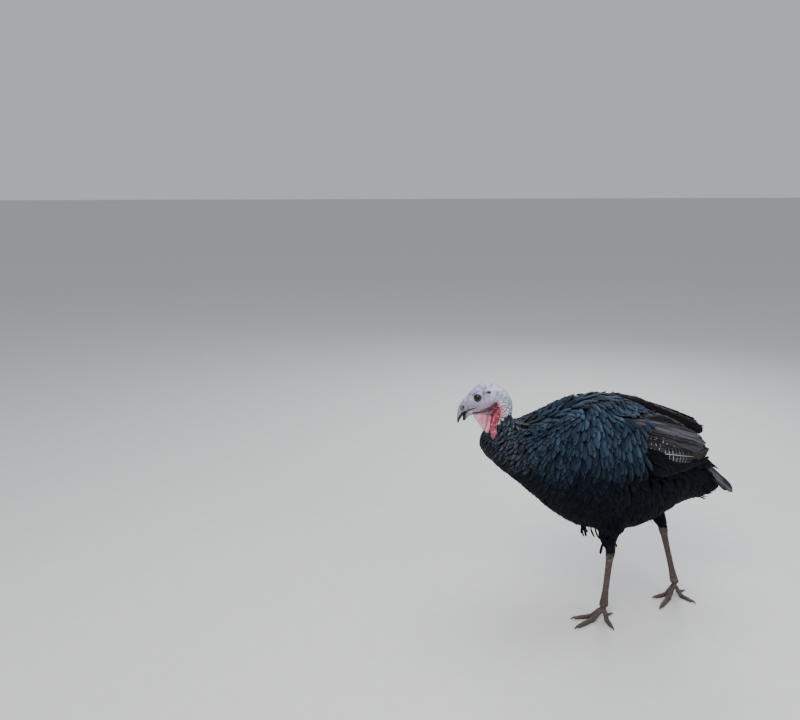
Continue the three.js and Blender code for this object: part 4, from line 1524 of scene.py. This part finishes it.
def feather_piece(name, grown, lengths, widths, fields, roots, patch):
    """One object of many feathers, with the numbers its material needs and the OFBake map."""
    points, faces, u_all, v_all, w_all, stride = grown
    count = len(lengths)
    piece = new_piece(name, points, faces)
    along_mm = np.outer(lengths, u_all) / MM
    across_mm = np.outer(widths, v_all * w_all) / 2 / MM
    set_field(piece, "vane_along", np.tile(u_all, count))
    set_field(piece, "vane_across", np.tile(v_all, count))
    set_field(piece, "barb", (along_mm - np.abs(across_mm) * 0.9).ravel())
    set_field(piece, "span", (along_mm + across_mm * 0.15).ravel())
    for key, values in fields.items():
        set_field(piece, key, np.repeat(values, stride))
    wide, long = patch
    spots = np.stack(
        [
            (roots[:, 0][:, None] + np.tile(v_all, (count, 1)) * wide / 2).ravel(),
            (roots[:, 1][:, None] + (np.tile(u_all, (count, 1)) - 0.5) * long).ravel(),
        ],
        axis=1,
    )
    set_map(piece, spots)
    return piece


# Width and length of a small feather's patch on its piece's map.
PATCH = (0.003, 0.003)


def unwrapped(roots):
    """Places of feather roots, unrolled round the body's long axis and scaled to fill the piece's map."""
    turn = np.arctan2(roots[:, 2] - 0.36, (roots[:, 0] - BODY_X) * 1.3)
    turn = np.where(turn < -math.pi / 2, turn + 2 * math.pi, turn)
    both = np.stack([turn, roots[:, 1] + 0.5 * roots[:, 2]], axis=1)
    low, high = both.min(axis=0), both.max(axis=0)
    return 0.01 + 0.98 * (both - low) / np.maximum(high - low, 1e-6)


def painted_sheen_at(points):
    """How much painted sheen feathers get: more the higher they lie, most high on shoulders and back, hardly
    any on the belly.
    """
    part = along_body(points)
    up = points[:, 2] + 0.018 * (1 - smooth_step(part, 0.18, 0.32))
    height = np.interp(up, (0.22, 0.28, 0.335, 0.375, 0.40, 0.43), (0.0, 0.02, 0.13, 0.32, 0.62, 1.0))
    region = np.interp(part, (0.0, 0.10, 0.2, 0.5, 0.68, 0.85), (0.2, 0.4, 0.95, 1.0, 0.6, 0.08))
    return height * region + 0.01


def coat_material(look):
    mix = Recipe("turkey_coat")
    along = mix.field("vane_along")
    across = mix.field("vane_across")
    edge_on = across.absolute()
    tone = mix.field("tone")
    barbs = (mix.field("barb") * 6.0).sine() * 0.5 + 0.5
    grown = mix.node("ShaderNodeCombineXYZ", None, across * 2.6 + tone * 61.0, along * 1.6, tone * 37.0)
    streak = mix.noise(1.0, 3, vector=grown).step(0.3, 0.72)
    cloud = mix.noise(24, 3)
    # Painted sheen: slate or lilac mixed into the black where the sheen field is high, lighter on one half of
    # each feather as if lit from that side.
    side = across.step(-0.9, 0.8)
    lit = mix.field("gloss") * (0.2 + cloud * 1.2) * (0.4 + streak * 0.9) * (0.5 + tone * 0.75)
    lit = (lit * (0.5 + side * 0.8)).clamped()
    sheen_slate = mix.blend(look.sheen_slate, look.lilac, mix.field("lilac"))
    paint = mix.blend(look.black, sheen_slate, lit)
    teal = mix.blend(look.black, (0.008, 0.014, 0.019), tone * streak)
    paint = mix.blend(paint, teal, (1 - lit.step(0.0, 0.2)) * 0.6)
    # Painted highlights: a band down the middle of the neck feathers, and a rim at the tips and sides of
    # feathers.
    ruff = mix.field("ruff")
    band = (1 - edge_on.step(0.3, 0.85)) * along.step(0.4, 0.65) * (0.25 + streak * 0.9)
    paint = mix.blend(paint, look.edge, band * ruff * (0.35 + tone * 0.65))
    rim = along.step(0.84, 0.98).larger(edge_on.step(0.55, 0.95)) * along.step(0.45, 0.7)
    paint = mix.blend(paint, look.edge, rim * mix.field("edge") * (0.3 + streak * 0.7))
    # Painted shade: each feather darker towards its root, under the feather that overlaps it.
    paint = mix.blend(paint, [value * 0.35 for value in look.black], (1 - along.step(0.12, 0.5)) * 0.9)
    paint = mix.blend(paint, look.black, (1 - barbs) * 0.22)
    return mix.finish(
        Base_Color=paint,
        Roughness=0.5 + (1 - lit) * 0.18,
        Normal=mix.bump(barbs * 0.7 + streak * 0.8 + (1 - edge_on) * 0.4, 0.4, 0.0002),
        Specular_IOR_Level=0.06,
    )


def quill_material(look, name="turkey_quills", depth=1.0):
    """Flight and tail feathers: bronze black, with pale bars, a shaft, painted sheen, painted shadow under the
    next feather, and pale edges that are partly painted highlight.
    """
    mix = Recipe(name)
    along = mix.field("vane_along")
    signed = mix.field("vane_across")
    across = signed.absolute()
    tone = mix.field("tone")
    length_mm = mix.field("barb")
    barbs = (length_mm * 5.2).sine() * 0.5 + 0.5
    grown = mix.node("ShaderNodeCombineXYZ", None, signed * 5.5 + tone * 61.0, along * 2.2, tone * 37.0)
    streak = mix.noise(1.0, 4, 0.6, vector=grown).step(0.40, 0.62)
    # depth below 1 darkens the whole material; the mass under the wings uses this as painted shade.
    dark, pale = ([value * part * depth for value in look.quill] for part in (0.1, 1.0))
    paint = mix.blend(dark, pale, streak * 0.75 + tone * 0.4 - 0.2)
    # Painted sheen: pale blue-grey where the sheen field is high, starting past the root.
    gloss = mix.field("gloss")
    begun = along.step(0.1, 0.5).larger(gloss.step(0.5, 0.6))
    paint = mix.blend(paint, (0.115, 0.115, 0.138), gloss * begun * (streak * 1.35 - 0.08))
    bars = mix.field("bars")
    whole = bars.step(0.8, 0.95)
    wave = (mix.field("span") * 0.785 + tone * 9.0).sine()
    strong = wave.step(0.65, 0.92) * across.step(0.06, 0.2) * along.step(0.02, 0.08)
    strong = strong * (1 - along.step(0.84, 0.94)) * whole.larger(1 - along.step(0.42, 0.62))
    scatter = mix.noise(150, 2).step(0.70 - 0.32 * bars, 0.78 - 0.32 * bars)
    strong = strong * (1 - along.step(0.35, 0.85) * 0.65)
    paint = mix.blend(paint, look.bar, strong * scatter * bars.step(0.05, 0.3) * (0.45 + barbs * 0.4))
    # Painted shadow on the half of each vane that lies under the next feather.
    painted_tuck_shadow = (signed * mix.field("tuck")).step(0.1, 0.75)
    paint = mix.blend(paint, look.black, painted_tuck_shadow * 0.8)
    # Pale rims: partly the feathers' own pale fringes, partly painted highlight; none in the painted shadow.
    rim = across.step(0.8, 0.98) * mix.field("edge") * streak.step(0.4, 0.62) * (1 - painted_tuck_shadow)
    paint = mix.blend(paint, (0.30, 0.31, 0.34), rim * 0.8)
    shaft = 1 - across.step(0.02, 0.07)
    paint = mix.blend(paint, (0.20, 0.19, 0.18), shaft * mix.field("shaft"))
    paint = mix.blend(paint, look.bar, shaft * whole * (0.7 - along.step(0.4, 0.85) * 0.5))
    paint = mix.blend(paint, look.black, (1 - barbs) * 0.3)
    return mix.finish(
        Base_Color=paint,
        Roughness=0.46 + streak * 0.16,
        Normal=mix.bump(barbs * 0.8 + shaft * 3.0 + (1 - across) * 0.6, 0.5, 0.00028),
        Specular_IOR_Level=0.1,
    )


_held = {}


def shared_hull(sizes):
    """The hull, made once for all feather operators."""
    if "hull" not in _held:
        _held["hull"] = Hull(sizes.hull_grain)
    return _held["hull"]


def make_coat(sizes, look):
    chance = np.random.default_rng(sizes.seed)
    hull = shared_hull(sizes)
    sown = sow(hull, sizes, chance)
    roots = sown[0]
    above = (np.abs(roots[:, 0] - BODY_X) > COVERT_INSIDE) & (roots[:, 2] > flank_line(roots[:, 1]))
    stray = above & (roots[:, 1] > covert_edge(roots) - COVERT_MARGIN)
    roots, normals, ways, lengths, widths = (values[~stray] for values in sown)
    count = len(roots)
    at = along_body(roots)
    depth = coat_depths(roots, sizes.coat_depth)
    near_bare = 1 - smooth_step(bare_distance(roots), 0.0, 0.03)
    lengths = lengths * chance.uniform(0.86, 1.14, count)
    widths = widths * chance.uniform(0.88, 1.12, count)
    side = np.cross(normals, ways)
    ways = unit(ways + side * chance.normal(0, 0.06, (count, 1)))
    tips = roots + ways * lengths[:, None]
    past = tips[:, 1] - covert_edge(tips) - COVERT_REACH
    above = (np.abs(roots[:, 0] - BODY_X) > COVERT_INSIDE) & (tips[:, 2] > flank_line(tips[:, 1]))
    over = (past > 0) & above
    shorter = lengths - past / np.maximum(ways[:, 1], 0.1)
    lengths = np.where(over, np.clip(shorter, 0.7 * lengths, lengths), lengths)
    lift = (chance.uniform(0.1, 0.9, count) + 0.4 * smooth_step(lengths, 0.02, 0.034)) * MM
    lift = lift * (1 - 0.5 * near_bare)
    near_head = 1 - smooth_step(at, 0.16, 0.3)
    outer = np.abs(roots[:, 0] - BODY_X) > WING_INSIDE
    over_wing = outer & (roots[:, 1] > COVERTS_END - 0.034) & (at < 0.95)
    lift = lift + 1.8 * MM * over_wing
    on_slab = (roots[:, 1] > COVERTS_END - 0.016) & (roots[:, 2] > edge("primaries_left", 2, 0) - 0.002)
    flank = over_wing & on_slab & (roots[:, 2] < flank_line(roots[:, 1]))
    lift = lift + 1.4 * MM * flank
    loose = np.where(flank, 0.2, 0.0) * chance.uniform(0.5, 1.2, count)
    slant = np.array([[0, 1.0, 0]]) * chance.uniform(0.9, 1.8, (count, 1)) + np.array([[0, 0, 0.2]])
    ways = np.where(flank[:, None], unit(ways + slant), ways)
    depth = np.where(flank, 0.0, depth)
    lift = lift + 0.8 * MM * near_head
    heights = np.stack([-depth, -depth * 0.22 + lift * 0.5, lift], axis=1)
    high_up = np.interp(roots[:, 2], (0.27, 0.34), (0.05, 1.0))
    ruff = (1 - smooth_step(at, 0.1, 0.22)) * smooth_step(roots[:, 2], 0.325, 0.36)
    upward = smooth_step(normals[:, 2], 0.3, 0.9)
    # Painted light on the small feathers: the sheen field is a painted sheen, weaker on flank feathers and on
    # feathers facing straight up; edge is a painted rim highlight, stronger the higher a root lies; ruff is a
    # painted highlight band on the neck.
    fields = {
        "gloss": painted_sheen_at(roots) * np.where(flank, 0.12, 1.0) * (1 - 0.4 * upward),
        "tone": chance.random(count),
        "edge": 0.1 * high_up * chance.uniform(0.2, 1.0, count),
        "ruff": ruff * chance.uniform(0.3, 1.0, count),
        "lilac": smooth_step(at + chance.uniform(-0.06, 0.06, count), 0.5, 0.66),
    }
    rolls = chance.normal(0, 0.05, count) + np.sign(roots[:, 0] - BODY_X) * (0.04 + 0.16 * near_head)
    bends = chance.normal(0, 0.12, count)
    tips = chance.normal(0, 0.02, (count, 7))
    material = coat_material(look)
    right = roots[:, 0] < BODY_X
    high = roots[:, 2] > 0.34
    group = np.where(at < 0.27, 0, 1 + right + 2 * ~high)
    names = ("coat_neck", "coat_back_left", "coat_back_right", "coat_belly_left", "coat_belly_right")
    for index, name in enumerate(names):
        mine = np.flatnonzero(group == index)
        lines = walked(hull, SMALL_FORM, roots[mine], ways[mine], lengths[mine], bends[mine], loose[mine])
        grown = grow_vanes(
            hull,
            SMALL_FORM,
            lines,
            lengths[mine],
            widths[mine],
            heights[mine],
            rolls[mine],
            0.03,
            0.18 * MM,
            tips[mine],
            loose[mine],
        )
        known = {key: values[mine] for key, values in fields.items()}
        piece = feather_piece(
            name, grown, lengths[mine], widths[mine], known, unwrapped(roots[mine]), PATCH
        )
        dress(piece, material, "plumage")
    loose_feathers(hull, material, chance)


def loose_feathers(hull, material, chance):
    """Ragged feathers that hang free: under the breast, round the thighs and under the tail."""
    down = np.array([0.0, 0.1, -1.0])
    rear = np.array([0.0, 0.9, -0.5])
    low = edge("trunk", 2, 0)
    knee = edge("thigh_left", 1, 0)
    groups = (
        (15, (BODY_X + 0.022, knee - 0.014, low), (0.030, 0.024, 0.004), down),
        (9, (BODY_X - 0.03, knee - 0.014, low), (0.030, 0.024, 0.004), down),
        (12, (*middle("thigh_left")[:2], edge("thigh_left", 2, 0) + 0.032), (0.012, 0.018, 0.012), down),
        (12, (*middle("thigh_right")[:2], edge("thigh_right", 2, 0) + 0.032), (0.012, 0.018, 0.012), down),
        (10, (BODY_X, edge("rump", 1, 1) - 0.035, edge("rump", 2, 0) + 0.01), (0.04, 0.02, 0.012), rear),
    )
    roots, ways = [], []
    for count, place, spread, way in groups:
        roots.append(np.array(place) + chance.uniform(-1, 1, (count, 3)) * np.array(spread))
        ways.append(unit(way + chance.normal(0, 0.16, (count, 3))))
    roots, _ = hull.nearest(np.concatenate(roots))
    ways = np.concatenate(ways)
    count = len(roots)
    lengths = chance.uniform(0.016, 0.030, count)
    widths = chance.uniform(0.0028, 0.0052, count)
    loose = chance.uniform(0.8, 1.0, count)
    heights = np.stack([np.full(count, -0.004), np.zeros(count), np.full(count, 0.0005)], axis=1)
    tips = chance.normal(0, 0.03, (count, 7))
    lines = walked(hull, SMALL_FORM, roots, ways, lengths, chance.normal(0, 0.2, count), loose)
    rolls = chance.normal(0, 0.15, count)
    grown = grow_vanes(
        hull, SMALL_FORM, lines, lengths, widths, heights, rolls, 0.05, 0.16 * MM, tips, loose
    )
    # A little painted sheen and a painted rim highlight, the same on every loose feather.
    fields = {
        "gloss": np.full(count, 0.02),
        "tone": chance.random(count),
        "edge": np.full(count, 0.1),
        "ruff": np.zeros(count),
        "lilac": np.zeros(count),
    }
    piece = feather_piece("coat_loose", grown, lengths, widths, fields, unwrapped(roots), PATCH)
    dress(piece, material, "plumage")


# ------------------------------------------------------------------ flight and tail feathers


def underlay(name, nodes, look, across, along, pitch, lit_top):
    """The mass of folded vanes behind the outer feathers: overlapping steps with pale edges, in a darker copy
    of the quill material as painted shade.

    lit_top is how much painted highlight the vanes get along the upper edge, where their edges are palest. The
    mass ends a little short of the tips.
    """
    points, quads = remeshed(joined(f"{name}_core", grown_nodes(nodes, -1.0 * MM)), 0.0016, 3)
    points[:, 1] = points[:, 1].min() + (points[:, 1] - points[:, 1].min()) * 0.975
    normals = vertex_normals(points, quads)
    start = points[:, 1].min()
    sink = 3.0 * MM * (1 - smooth_step(points[:, 1], start + 0.02, start + 0.045))
    points = points - normals * sink[:, None]
    place = points @ across / pitch + 0.08 * wobble(points, 0.05, 3)
    part = place % 1.0
    step = np.where(part < 0.88, part / 0.88, (1 - part) / 0.12)
    piece = new_piece(name, points + normals * ((step - 0.5) * 0.9 * MM)[:, None], quads)
    set_field(piece, "vane_along", np.full(len(points), 0.5))
    set_field(piece, "vane_across", np.abs(part - 0.45) / 0.55)
    set_field(piece, "barb", points @ along / MM - np.abs(part - 0.45) * 8)
    shade = np.random.default_rng(3).random(200)
    set_field(piece, "tone", shade[np.floor(place).astype(int) % 200])
    bins = np.floor((points[:, 1] - points[:, 1].min()) / 0.004).astype(int)
    crest = np.full(bins.max() + 1, -1.0)
    np.maximum.at(crest, bins, points[:, 2])
    # Painted highlight along the top of the mass: sheen and pale rims only near its upper edge.
    top = smooth_step(points[:, 2] - crest[bins], -0.006, -0.0015) * lit_top
    set_field(piece, "gloss", top * (0.5 + 0.5 * wobble(points, 0.012, 5)))
    set_field(piece, "edge", 0.05 + 0.2 * top)
    for unused in ("shaft", "bars", "tuck", "span"):
        set_field(piece, unused, np.zeros(len(points)))
    # The 0.4 makes a darker copy of the quill material: painted shade on the mass behind the outer feathers.
    dress(piece, quill_material(look, f"turkey_{name}", 0.4), "quills", *nodes)


# The barred feather lies over this secondary, counted from 0 for the lowest.
BARRED_AFTER = 5


def wing_rows(side):
    """Rows of flight feathers: primaries first, then secondaries with the uppermost last."""
    start = edge(f"wing_{side}", 1, 1)
    back = edge(f"secondaries_{side}", 1, 1)
    low = edge(f"primaries_{side}", 2, 0)
    high = edge(f"secondaries_{side}", 2, 1)
    rows = []

    def row(root, control, tip, wide, rise, bars, gloss, pale, shaft):
        rows.append(
            {
                "curve": (root, control, tip),
                "wide": wide,
                "rise": rise * MM,
                "bars": bars,
                "gloss": gloss,
                "edge": pale,
                "shaft": shaft,
                # tuck picks the half of each vane that gets painted shadow.
                "tuck": 1.0 if side == "left" else -1.0,
            }
        )

    count = 7
    for index in range(count):
        part = 1 - index / (count - 1)
        root = (start + 0.022 + 0.014 * part, low + 0.030 - 0.024 * part)
        tip = (back - 0.003 - 0.058 * part, low + 0.022 - 0.016 * part)
        control = ((root[0] + tip[0]) / 2, (root[1] + tip[1]) / 2 - 0.002)
        row(root, control, tip, 0.0150, 0.5, 0.0, 0.02, 0.4, 0.4)
    count = 16
    for index in range(count):
        part = 1 - index / (count - 1)
        root = (start - 0.026 + 0.03 * smooth_step(part, 0.7, 0.95), high - 0.006 - 0.065 * part)
        tip = (back - 0.005 - 0.103 * part**1.1, low + 0.036 - 0.028 * part**0.8)
        arch = 0.010 * (1 - part) + 0.003
        control = ((root[0] + tip[0]) / 2, (root[1] + tip[1]) / 2 + arch)
        bars = float(np.interp(part, (0.12, 0.25, 0.62, 0.72), (0.0, 0.5, 0.5, 0.0)))
        # The uppermost rows get the most painted sheen and the palest rims, which are partly painted highlight.
        gloss = float(np.interp(part, (0, 0.12, 0.35, 0.6), (0.9, 0.45, 0.13, 0.03)))
        pale = float(np.interp(part, (0, 0.25, 0.45), (1.0, 0.7, 0.3)))
        row(root, control, tip, 0.0150, 1.5, bars, gloss, pale, 0.4)
        if index == BARRED_AFTER:
            root, control, tip = (start - 0.006, 0.3655), (start + 0.044, 0.354), (start + 0.090, 0.342)
            row(root, control, tip, 0.0240, 3.0, 1.0, 0.05, 0.5, 1.0)
    return rows


def quill_piece(name, hull, material, lines, rows, rolls, chance, loose=None, nodes=()):
    """One object of large feathers along their middle lines."""
    count = len(rows)
    lengths = np.linalg.norm(np.diff(lines[0], axis=1), axis=2).sum(axis=1)
    widths = np.array([row["wide"] for row in rows])
    rise = np.array([row["rise"] for row in rows])
    heights = np.stack([rise - 3.9 * MM, rise + 0.6 * MM, rise], axis=1)
    tips = chance.normal(0, 0.007, (count, 9))
    form = (lines, lengths, widths, heights, rolls, 0.03, 0.3 * MM, tips, loose)
    grown = grow_vanes(hull, LARGE_FORM, *form)
    fields = {key: np.array([row[key] for row in rows]) for key in ("gloss", "bars", "edge", "shaft", "tuck")}
    fields["edge"] = fields["edge"] * chance.uniform(0.6, 1.0, count)
    fields["shaft"] = fields["shaft"] * chance.uniform(0.5, 1.0, count)
    fields["tone"] = chance.random(count)
    spots = np.stack([(np.arange(count) + 0.5) / count, np.full(count, 0.5)], axis=1)
    piece = feather_piece(name, grown, lengths, widths, fields, spots, (0.8 / count, 0.94))
    dress(piece, material, "quills", *nodes)


def make_flight(sizes, look):
    """Secondaries over primaries on each folded wing, a barred feather over them, and the mass behind."""
    hull = shared_hull(sizes)
    material = quill_material(look)
    for side in SIDES:
        sign = 1 if side == "left" else -1
        chance = np.random.default_rng(sizes.seed + sign)
        rows = wing_rows(side)
        lines = followed(hull, LARGE_FORM, side, [row["curve"] for row in rows])
        rolls = np.full(len(rows), -0.075 * sign) + chance.normal(0, 0.008, len(rows))
        quill_piece(f"flight_{side}", hull, material, lines, rows, rolls, chance)
        nodes = (f"secondaries_{side}", f"primaries_{side}")
        across = unit(np.array([0.0, 0.42, 0.9]))
        along = unit(np.array([0.0, 0.9, -0.42]))
        underlay(f"under_wing_{side}", nodes, look, across, along, 0.0075, 1.0)


def make_tail(sizes, look):
    """Tail feathers, the middle pair on top, with shorter ones under them."""
    hull = shared_hull(sizes)
    chance = np.random.default_rng(sizes.seed + 31)
    points, _ = mesh_arrays(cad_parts["tail"])
    centre = points.mean(axis=0)
    up = np.linalg.svd(points - centre, full_matrices=False)[2][2]
    up = up * np.sign(up[2])
    across = np.array([1.0, 0.0, 0.0])
    way = unit(np.cross(across, up)) * -1
    way = way * np.sign(way[1])
    half = np.abs((points - centre) @ across).max()
    reach = (points - centre) @ way
    start, end = reach.min(), reach.max()
    material = quill_material(look)
    for layer, count in (("top", 14), ("under", 10)):
        face = 1 if layer == "top" else -1
        place = (np.arange(count) - (count - 1) / 2) / ((count - 1) / 2)
        place = place[np.argsort(-np.abs(place), kind="stable")]
        finish = end + 0.004 - 0.012 * np.abs(place) ** 1.5 - (0.012 if layer == "under" else 0.0)
        steps = LARGE_FORM["along"][None, :, None]
        tilt = np.sign(place) * np.abs(place) ** 1.6 * (1.0 if layer == "top" else 0.7)
        outward = unit(up[None] * np.cos(tilt)[:, None] + across[None] * np.sin(tilt)[:, None])
        drop = -0.012 * np.abs(place) ** 2.2 + face * 0.0022
        root = centre + across * (place * half * 0.6)[:, None] + way * (start - 0.012) + up * face * 0.001
        tip = centre + across * (place * half * 0.86)[:, None] + way * finish[:, None] + up * drop[:, None]
        spots = root[:, None] * (1 - steps) + tip[:, None] * steps
        heading = unit(np.gradient(spots, axis=1))
        normals = unit(outward[:, None] - heading * (outward[:, None] * heading).sum(axis=2, keepdims=True))
        # Every tail feather gets full painted sheen; tuck picks the half that gets painted shadow.
        rows = [
            {
                "wide": 0.019,
                "rise": (0.4 + 1.8 * (1 - abs(float(spot)))) * MM * face,
                "bars": 0.0,
                "gloss": 1.0,
                "edge": 0.3,
                "shaft": 0.5,
                "tuck": float(np.sign(spot)) * face,
            }
            for spot in place
        ]
        rolls = -0.05 * np.sign(place) * face
        lines = (spots, normals, heading)
        nodes = ("tail",) if layer == "top" else ()
        quill_piece(f"tail_{layer}", hull, material, lines, rows, rolls, chance, np.ones(count), nodes)


# ------------------------------------------------------------------ stage

# The camera stands to the bird's left and ahead of it. It looks along the heading, given as the x and y
# of a unit vector, and down by the slope in degrees.
CAMERA_PLACE = (1.0771, -0.6351, 0.78)
CAMERA_HEADING = (-0.9703, 0.2419)
CAMERA_SLOPE = 13.3
CAMERA_LENS = 32.445
LAMP_AIM = (0, 0, 0.28)


def make_stage():
    mix = Recipe("studio_floor")
    speck = mix.noise(30, 3)
    paint = mix.blend((0.60, 0.60, 0.60), (0.66, 0.66, 0.655), speck)
    floor_material = mix.finish(Base_Color=paint, Roughness=0.8)
    points = np.array([[-60, -60, 0], [60, -60, 0], [60, 60, 0], [-60, 60, 0]], float)
    floor = new_piece("studio_floor_sheet", points, np.array([[0, 1, 2, 3]]), smooth=False)
    floor.data.materials.append(floor_material)
    lamps = (
        ("key", (1.3, -1.2, 2.1), 1.1, 46, (1.0, 0.985, 0.96)),
        ("fill", (1.9, 1.1, 1.1), 1.4, 15, (0.93, 0.96, 1.0)),
        ("top", (0.0, 0.1, 2.3), 1.5, 26, (0.95, 0.97, 1.0)),
        ("rim", (-1.5, 0.9, 1.5), 0.9, 18, (1.0, 1.0, 1.0)),
    )
    for name, place, size, power, tint in lamps:
        lamp = bpy.data.lights.new(f"lamp_{name}", "AREA")
        lamp.shape = "DISK"
        lamp.size = size
        lamp.energy = power
        lamp.color = tint
        holder = bpy.data.objects.new(f"lamp_{name}", lamp)
        holder.location = place
        holder.rotation_euler = (Vector(LAMP_AIM) - Vector(place)).to_track_quat("-Z", "Y").to_euler()
        bpy.context.scene.collection.objects.link(holder)
    world = bpy.data.worlds.new("studio")
    world.use_nodes = True
    ground = world.node_tree.nodes["Background"]
    ground.inputs["Color"].default_value = (0.86, 0.9, 0.96, 1)
    ground.inputs["Strength"].default_value = 0.55
    bpy.context.scene.world = world
    lens = bpy.data.cameras.new("camera")
    lens.lens = CAMERA_LENS
    lens.sensor_width = 36
    camera = bpy.data.objects.new("camera", lens)
    camera.location = CAMERA_PLACE
    slope = math.radians(CAMERA_SLOPE)
    x, y = CAMERA_HEADING
    ahead = Vector((x * math.cos(slope), y * math.cos(slope), -math.sin(slope)))
    camera.rotation_euler = ahead.to_track_quat("-Z", "Y").to_euler()
    bpy.context.scene.collection.objects.link(camera)
    bpy.context.scene.camera = camera


# ------------------------------------------------------------------ add-on


def settings():
    return bpy.context.scene.hen_sizes, bpy.context.scene.hen_colours


class HEN_OT_skin(bpy.types.Operator):
    """Skin of head, neck, body and legs"""

    bl_idname = "hen.skin"
    bl_label = "Skin"

    def execute(self, context):
        make_skin(*settings())
        return {"FINISHED"}


class HEN_OT_eyes(bpy.types.Operator):
    """Eyeballs"""

    bl_idname = "hen.eyes"
    bl_label = "Eyes"

    def execute(self, context):
        make_eyes()
        return {"FINISHED"}


class HEN_OT_bill(bpy.types.Operator):
    """Upper and lower bill"""

    bl_idname = "hen.bill"
    bl_label = "Bill"

    def execute(self, context):
        make_bill(*settings())
        return {"FINISHED"}


class HEN_OT_claws(bpy.types.Operator):
    """Claws of both feet"""

    bl_idname = "hen.claws"
    bl_label = "Claws"

    def execute(self, context):
        make_claws()
        return {"FINISHED"}


class HEN_OT_coat(bpy.types.Operator):
    """Small feathers of neck, back, wings, breast, belly and thighs"""

    bl_idname = "hen.coat"
    bl_label = "Coat"

    def execute(self, context):
        make_coat(*settings())
        return {"FINISHED"}


class HEN_OT_flight(bpy.types.Operator):
    """Flight feathers of both wings"""

    bl_idname = "hen.flight"
    bl_label = "Flight feathers"

    def execute(self, context):
        make_flight(*settings())
        return {"FINISHED"}


class HEN_OT_tail(bpy.types.Operator):
    """Tail feathers"""

    bl_idname = "hen.tail"
    bl_label = "Tail"

    def execute(self, context):
        make_tail(*settings())
        return {"FINISHED"}


class HEN_OT_stage(bpy.types.Operator):
    """Floor, lamps, world and camera"""

    bl_idname = "hen.stage"
    bl_label = "Stage"

    def execute(self, context):
        make_stage()
        return {"FINISHED"}


OPERATORS = (
    HEN_OT_skin,
    HEN_OT_eyes,
    HEN_OT_bill,
    HEN_OT_claws,
    HEN_OT_coat,
    HEN_OT_flight,
    HEN_OT_tail,
    HEN_OT_stage,
)


class HEN_PT_panel(bpy.types.Panel):
    """Sizes, colours and parts of the hen"""

    bl_idname = "HEN_PT_panel"
    bl_label = "Turkey hen"
    bl_space_type = "VIEW_3D"
    bl_region_type = "UI"
    bl_category = "Turkey"

    def draw(self, context):
        for group in settings():
            for key in group.bl_rna.properties.keys():
                if key not in ("rna_type", "name"):
                    self.layout.prop(group, key)
        for operator in OPERATORS:
            self.layout.operator(operator.bl_idname)


CLASSES = (HenSizes, HenColours, *OPERATORS, HEN_PT_panel)


def register():
    for cls in CLASSES:
        bpy.utils.register_class(cls)
    bpy.types.Scene.hen_sizes = PointerProperty(type=HenSizes)
    bpy.types.Scene.hen_colours = PointerProperty(type=HenColours)


def unregister():
    del bpy.types.Scene.hen_colours
    del bpy.types.Scene.hen_sizes
    for cls in reversed(CLASSES):
        bpy.utils.unregister_class(cls)


def main():
    register()
    for operator in OPERATORS:
        print(operator.bl_idname)
        getattr(bpy.ops.hen, operator.bl_idname.split(".")[1])()
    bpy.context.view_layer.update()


if __name__ == "__main__":
    main()
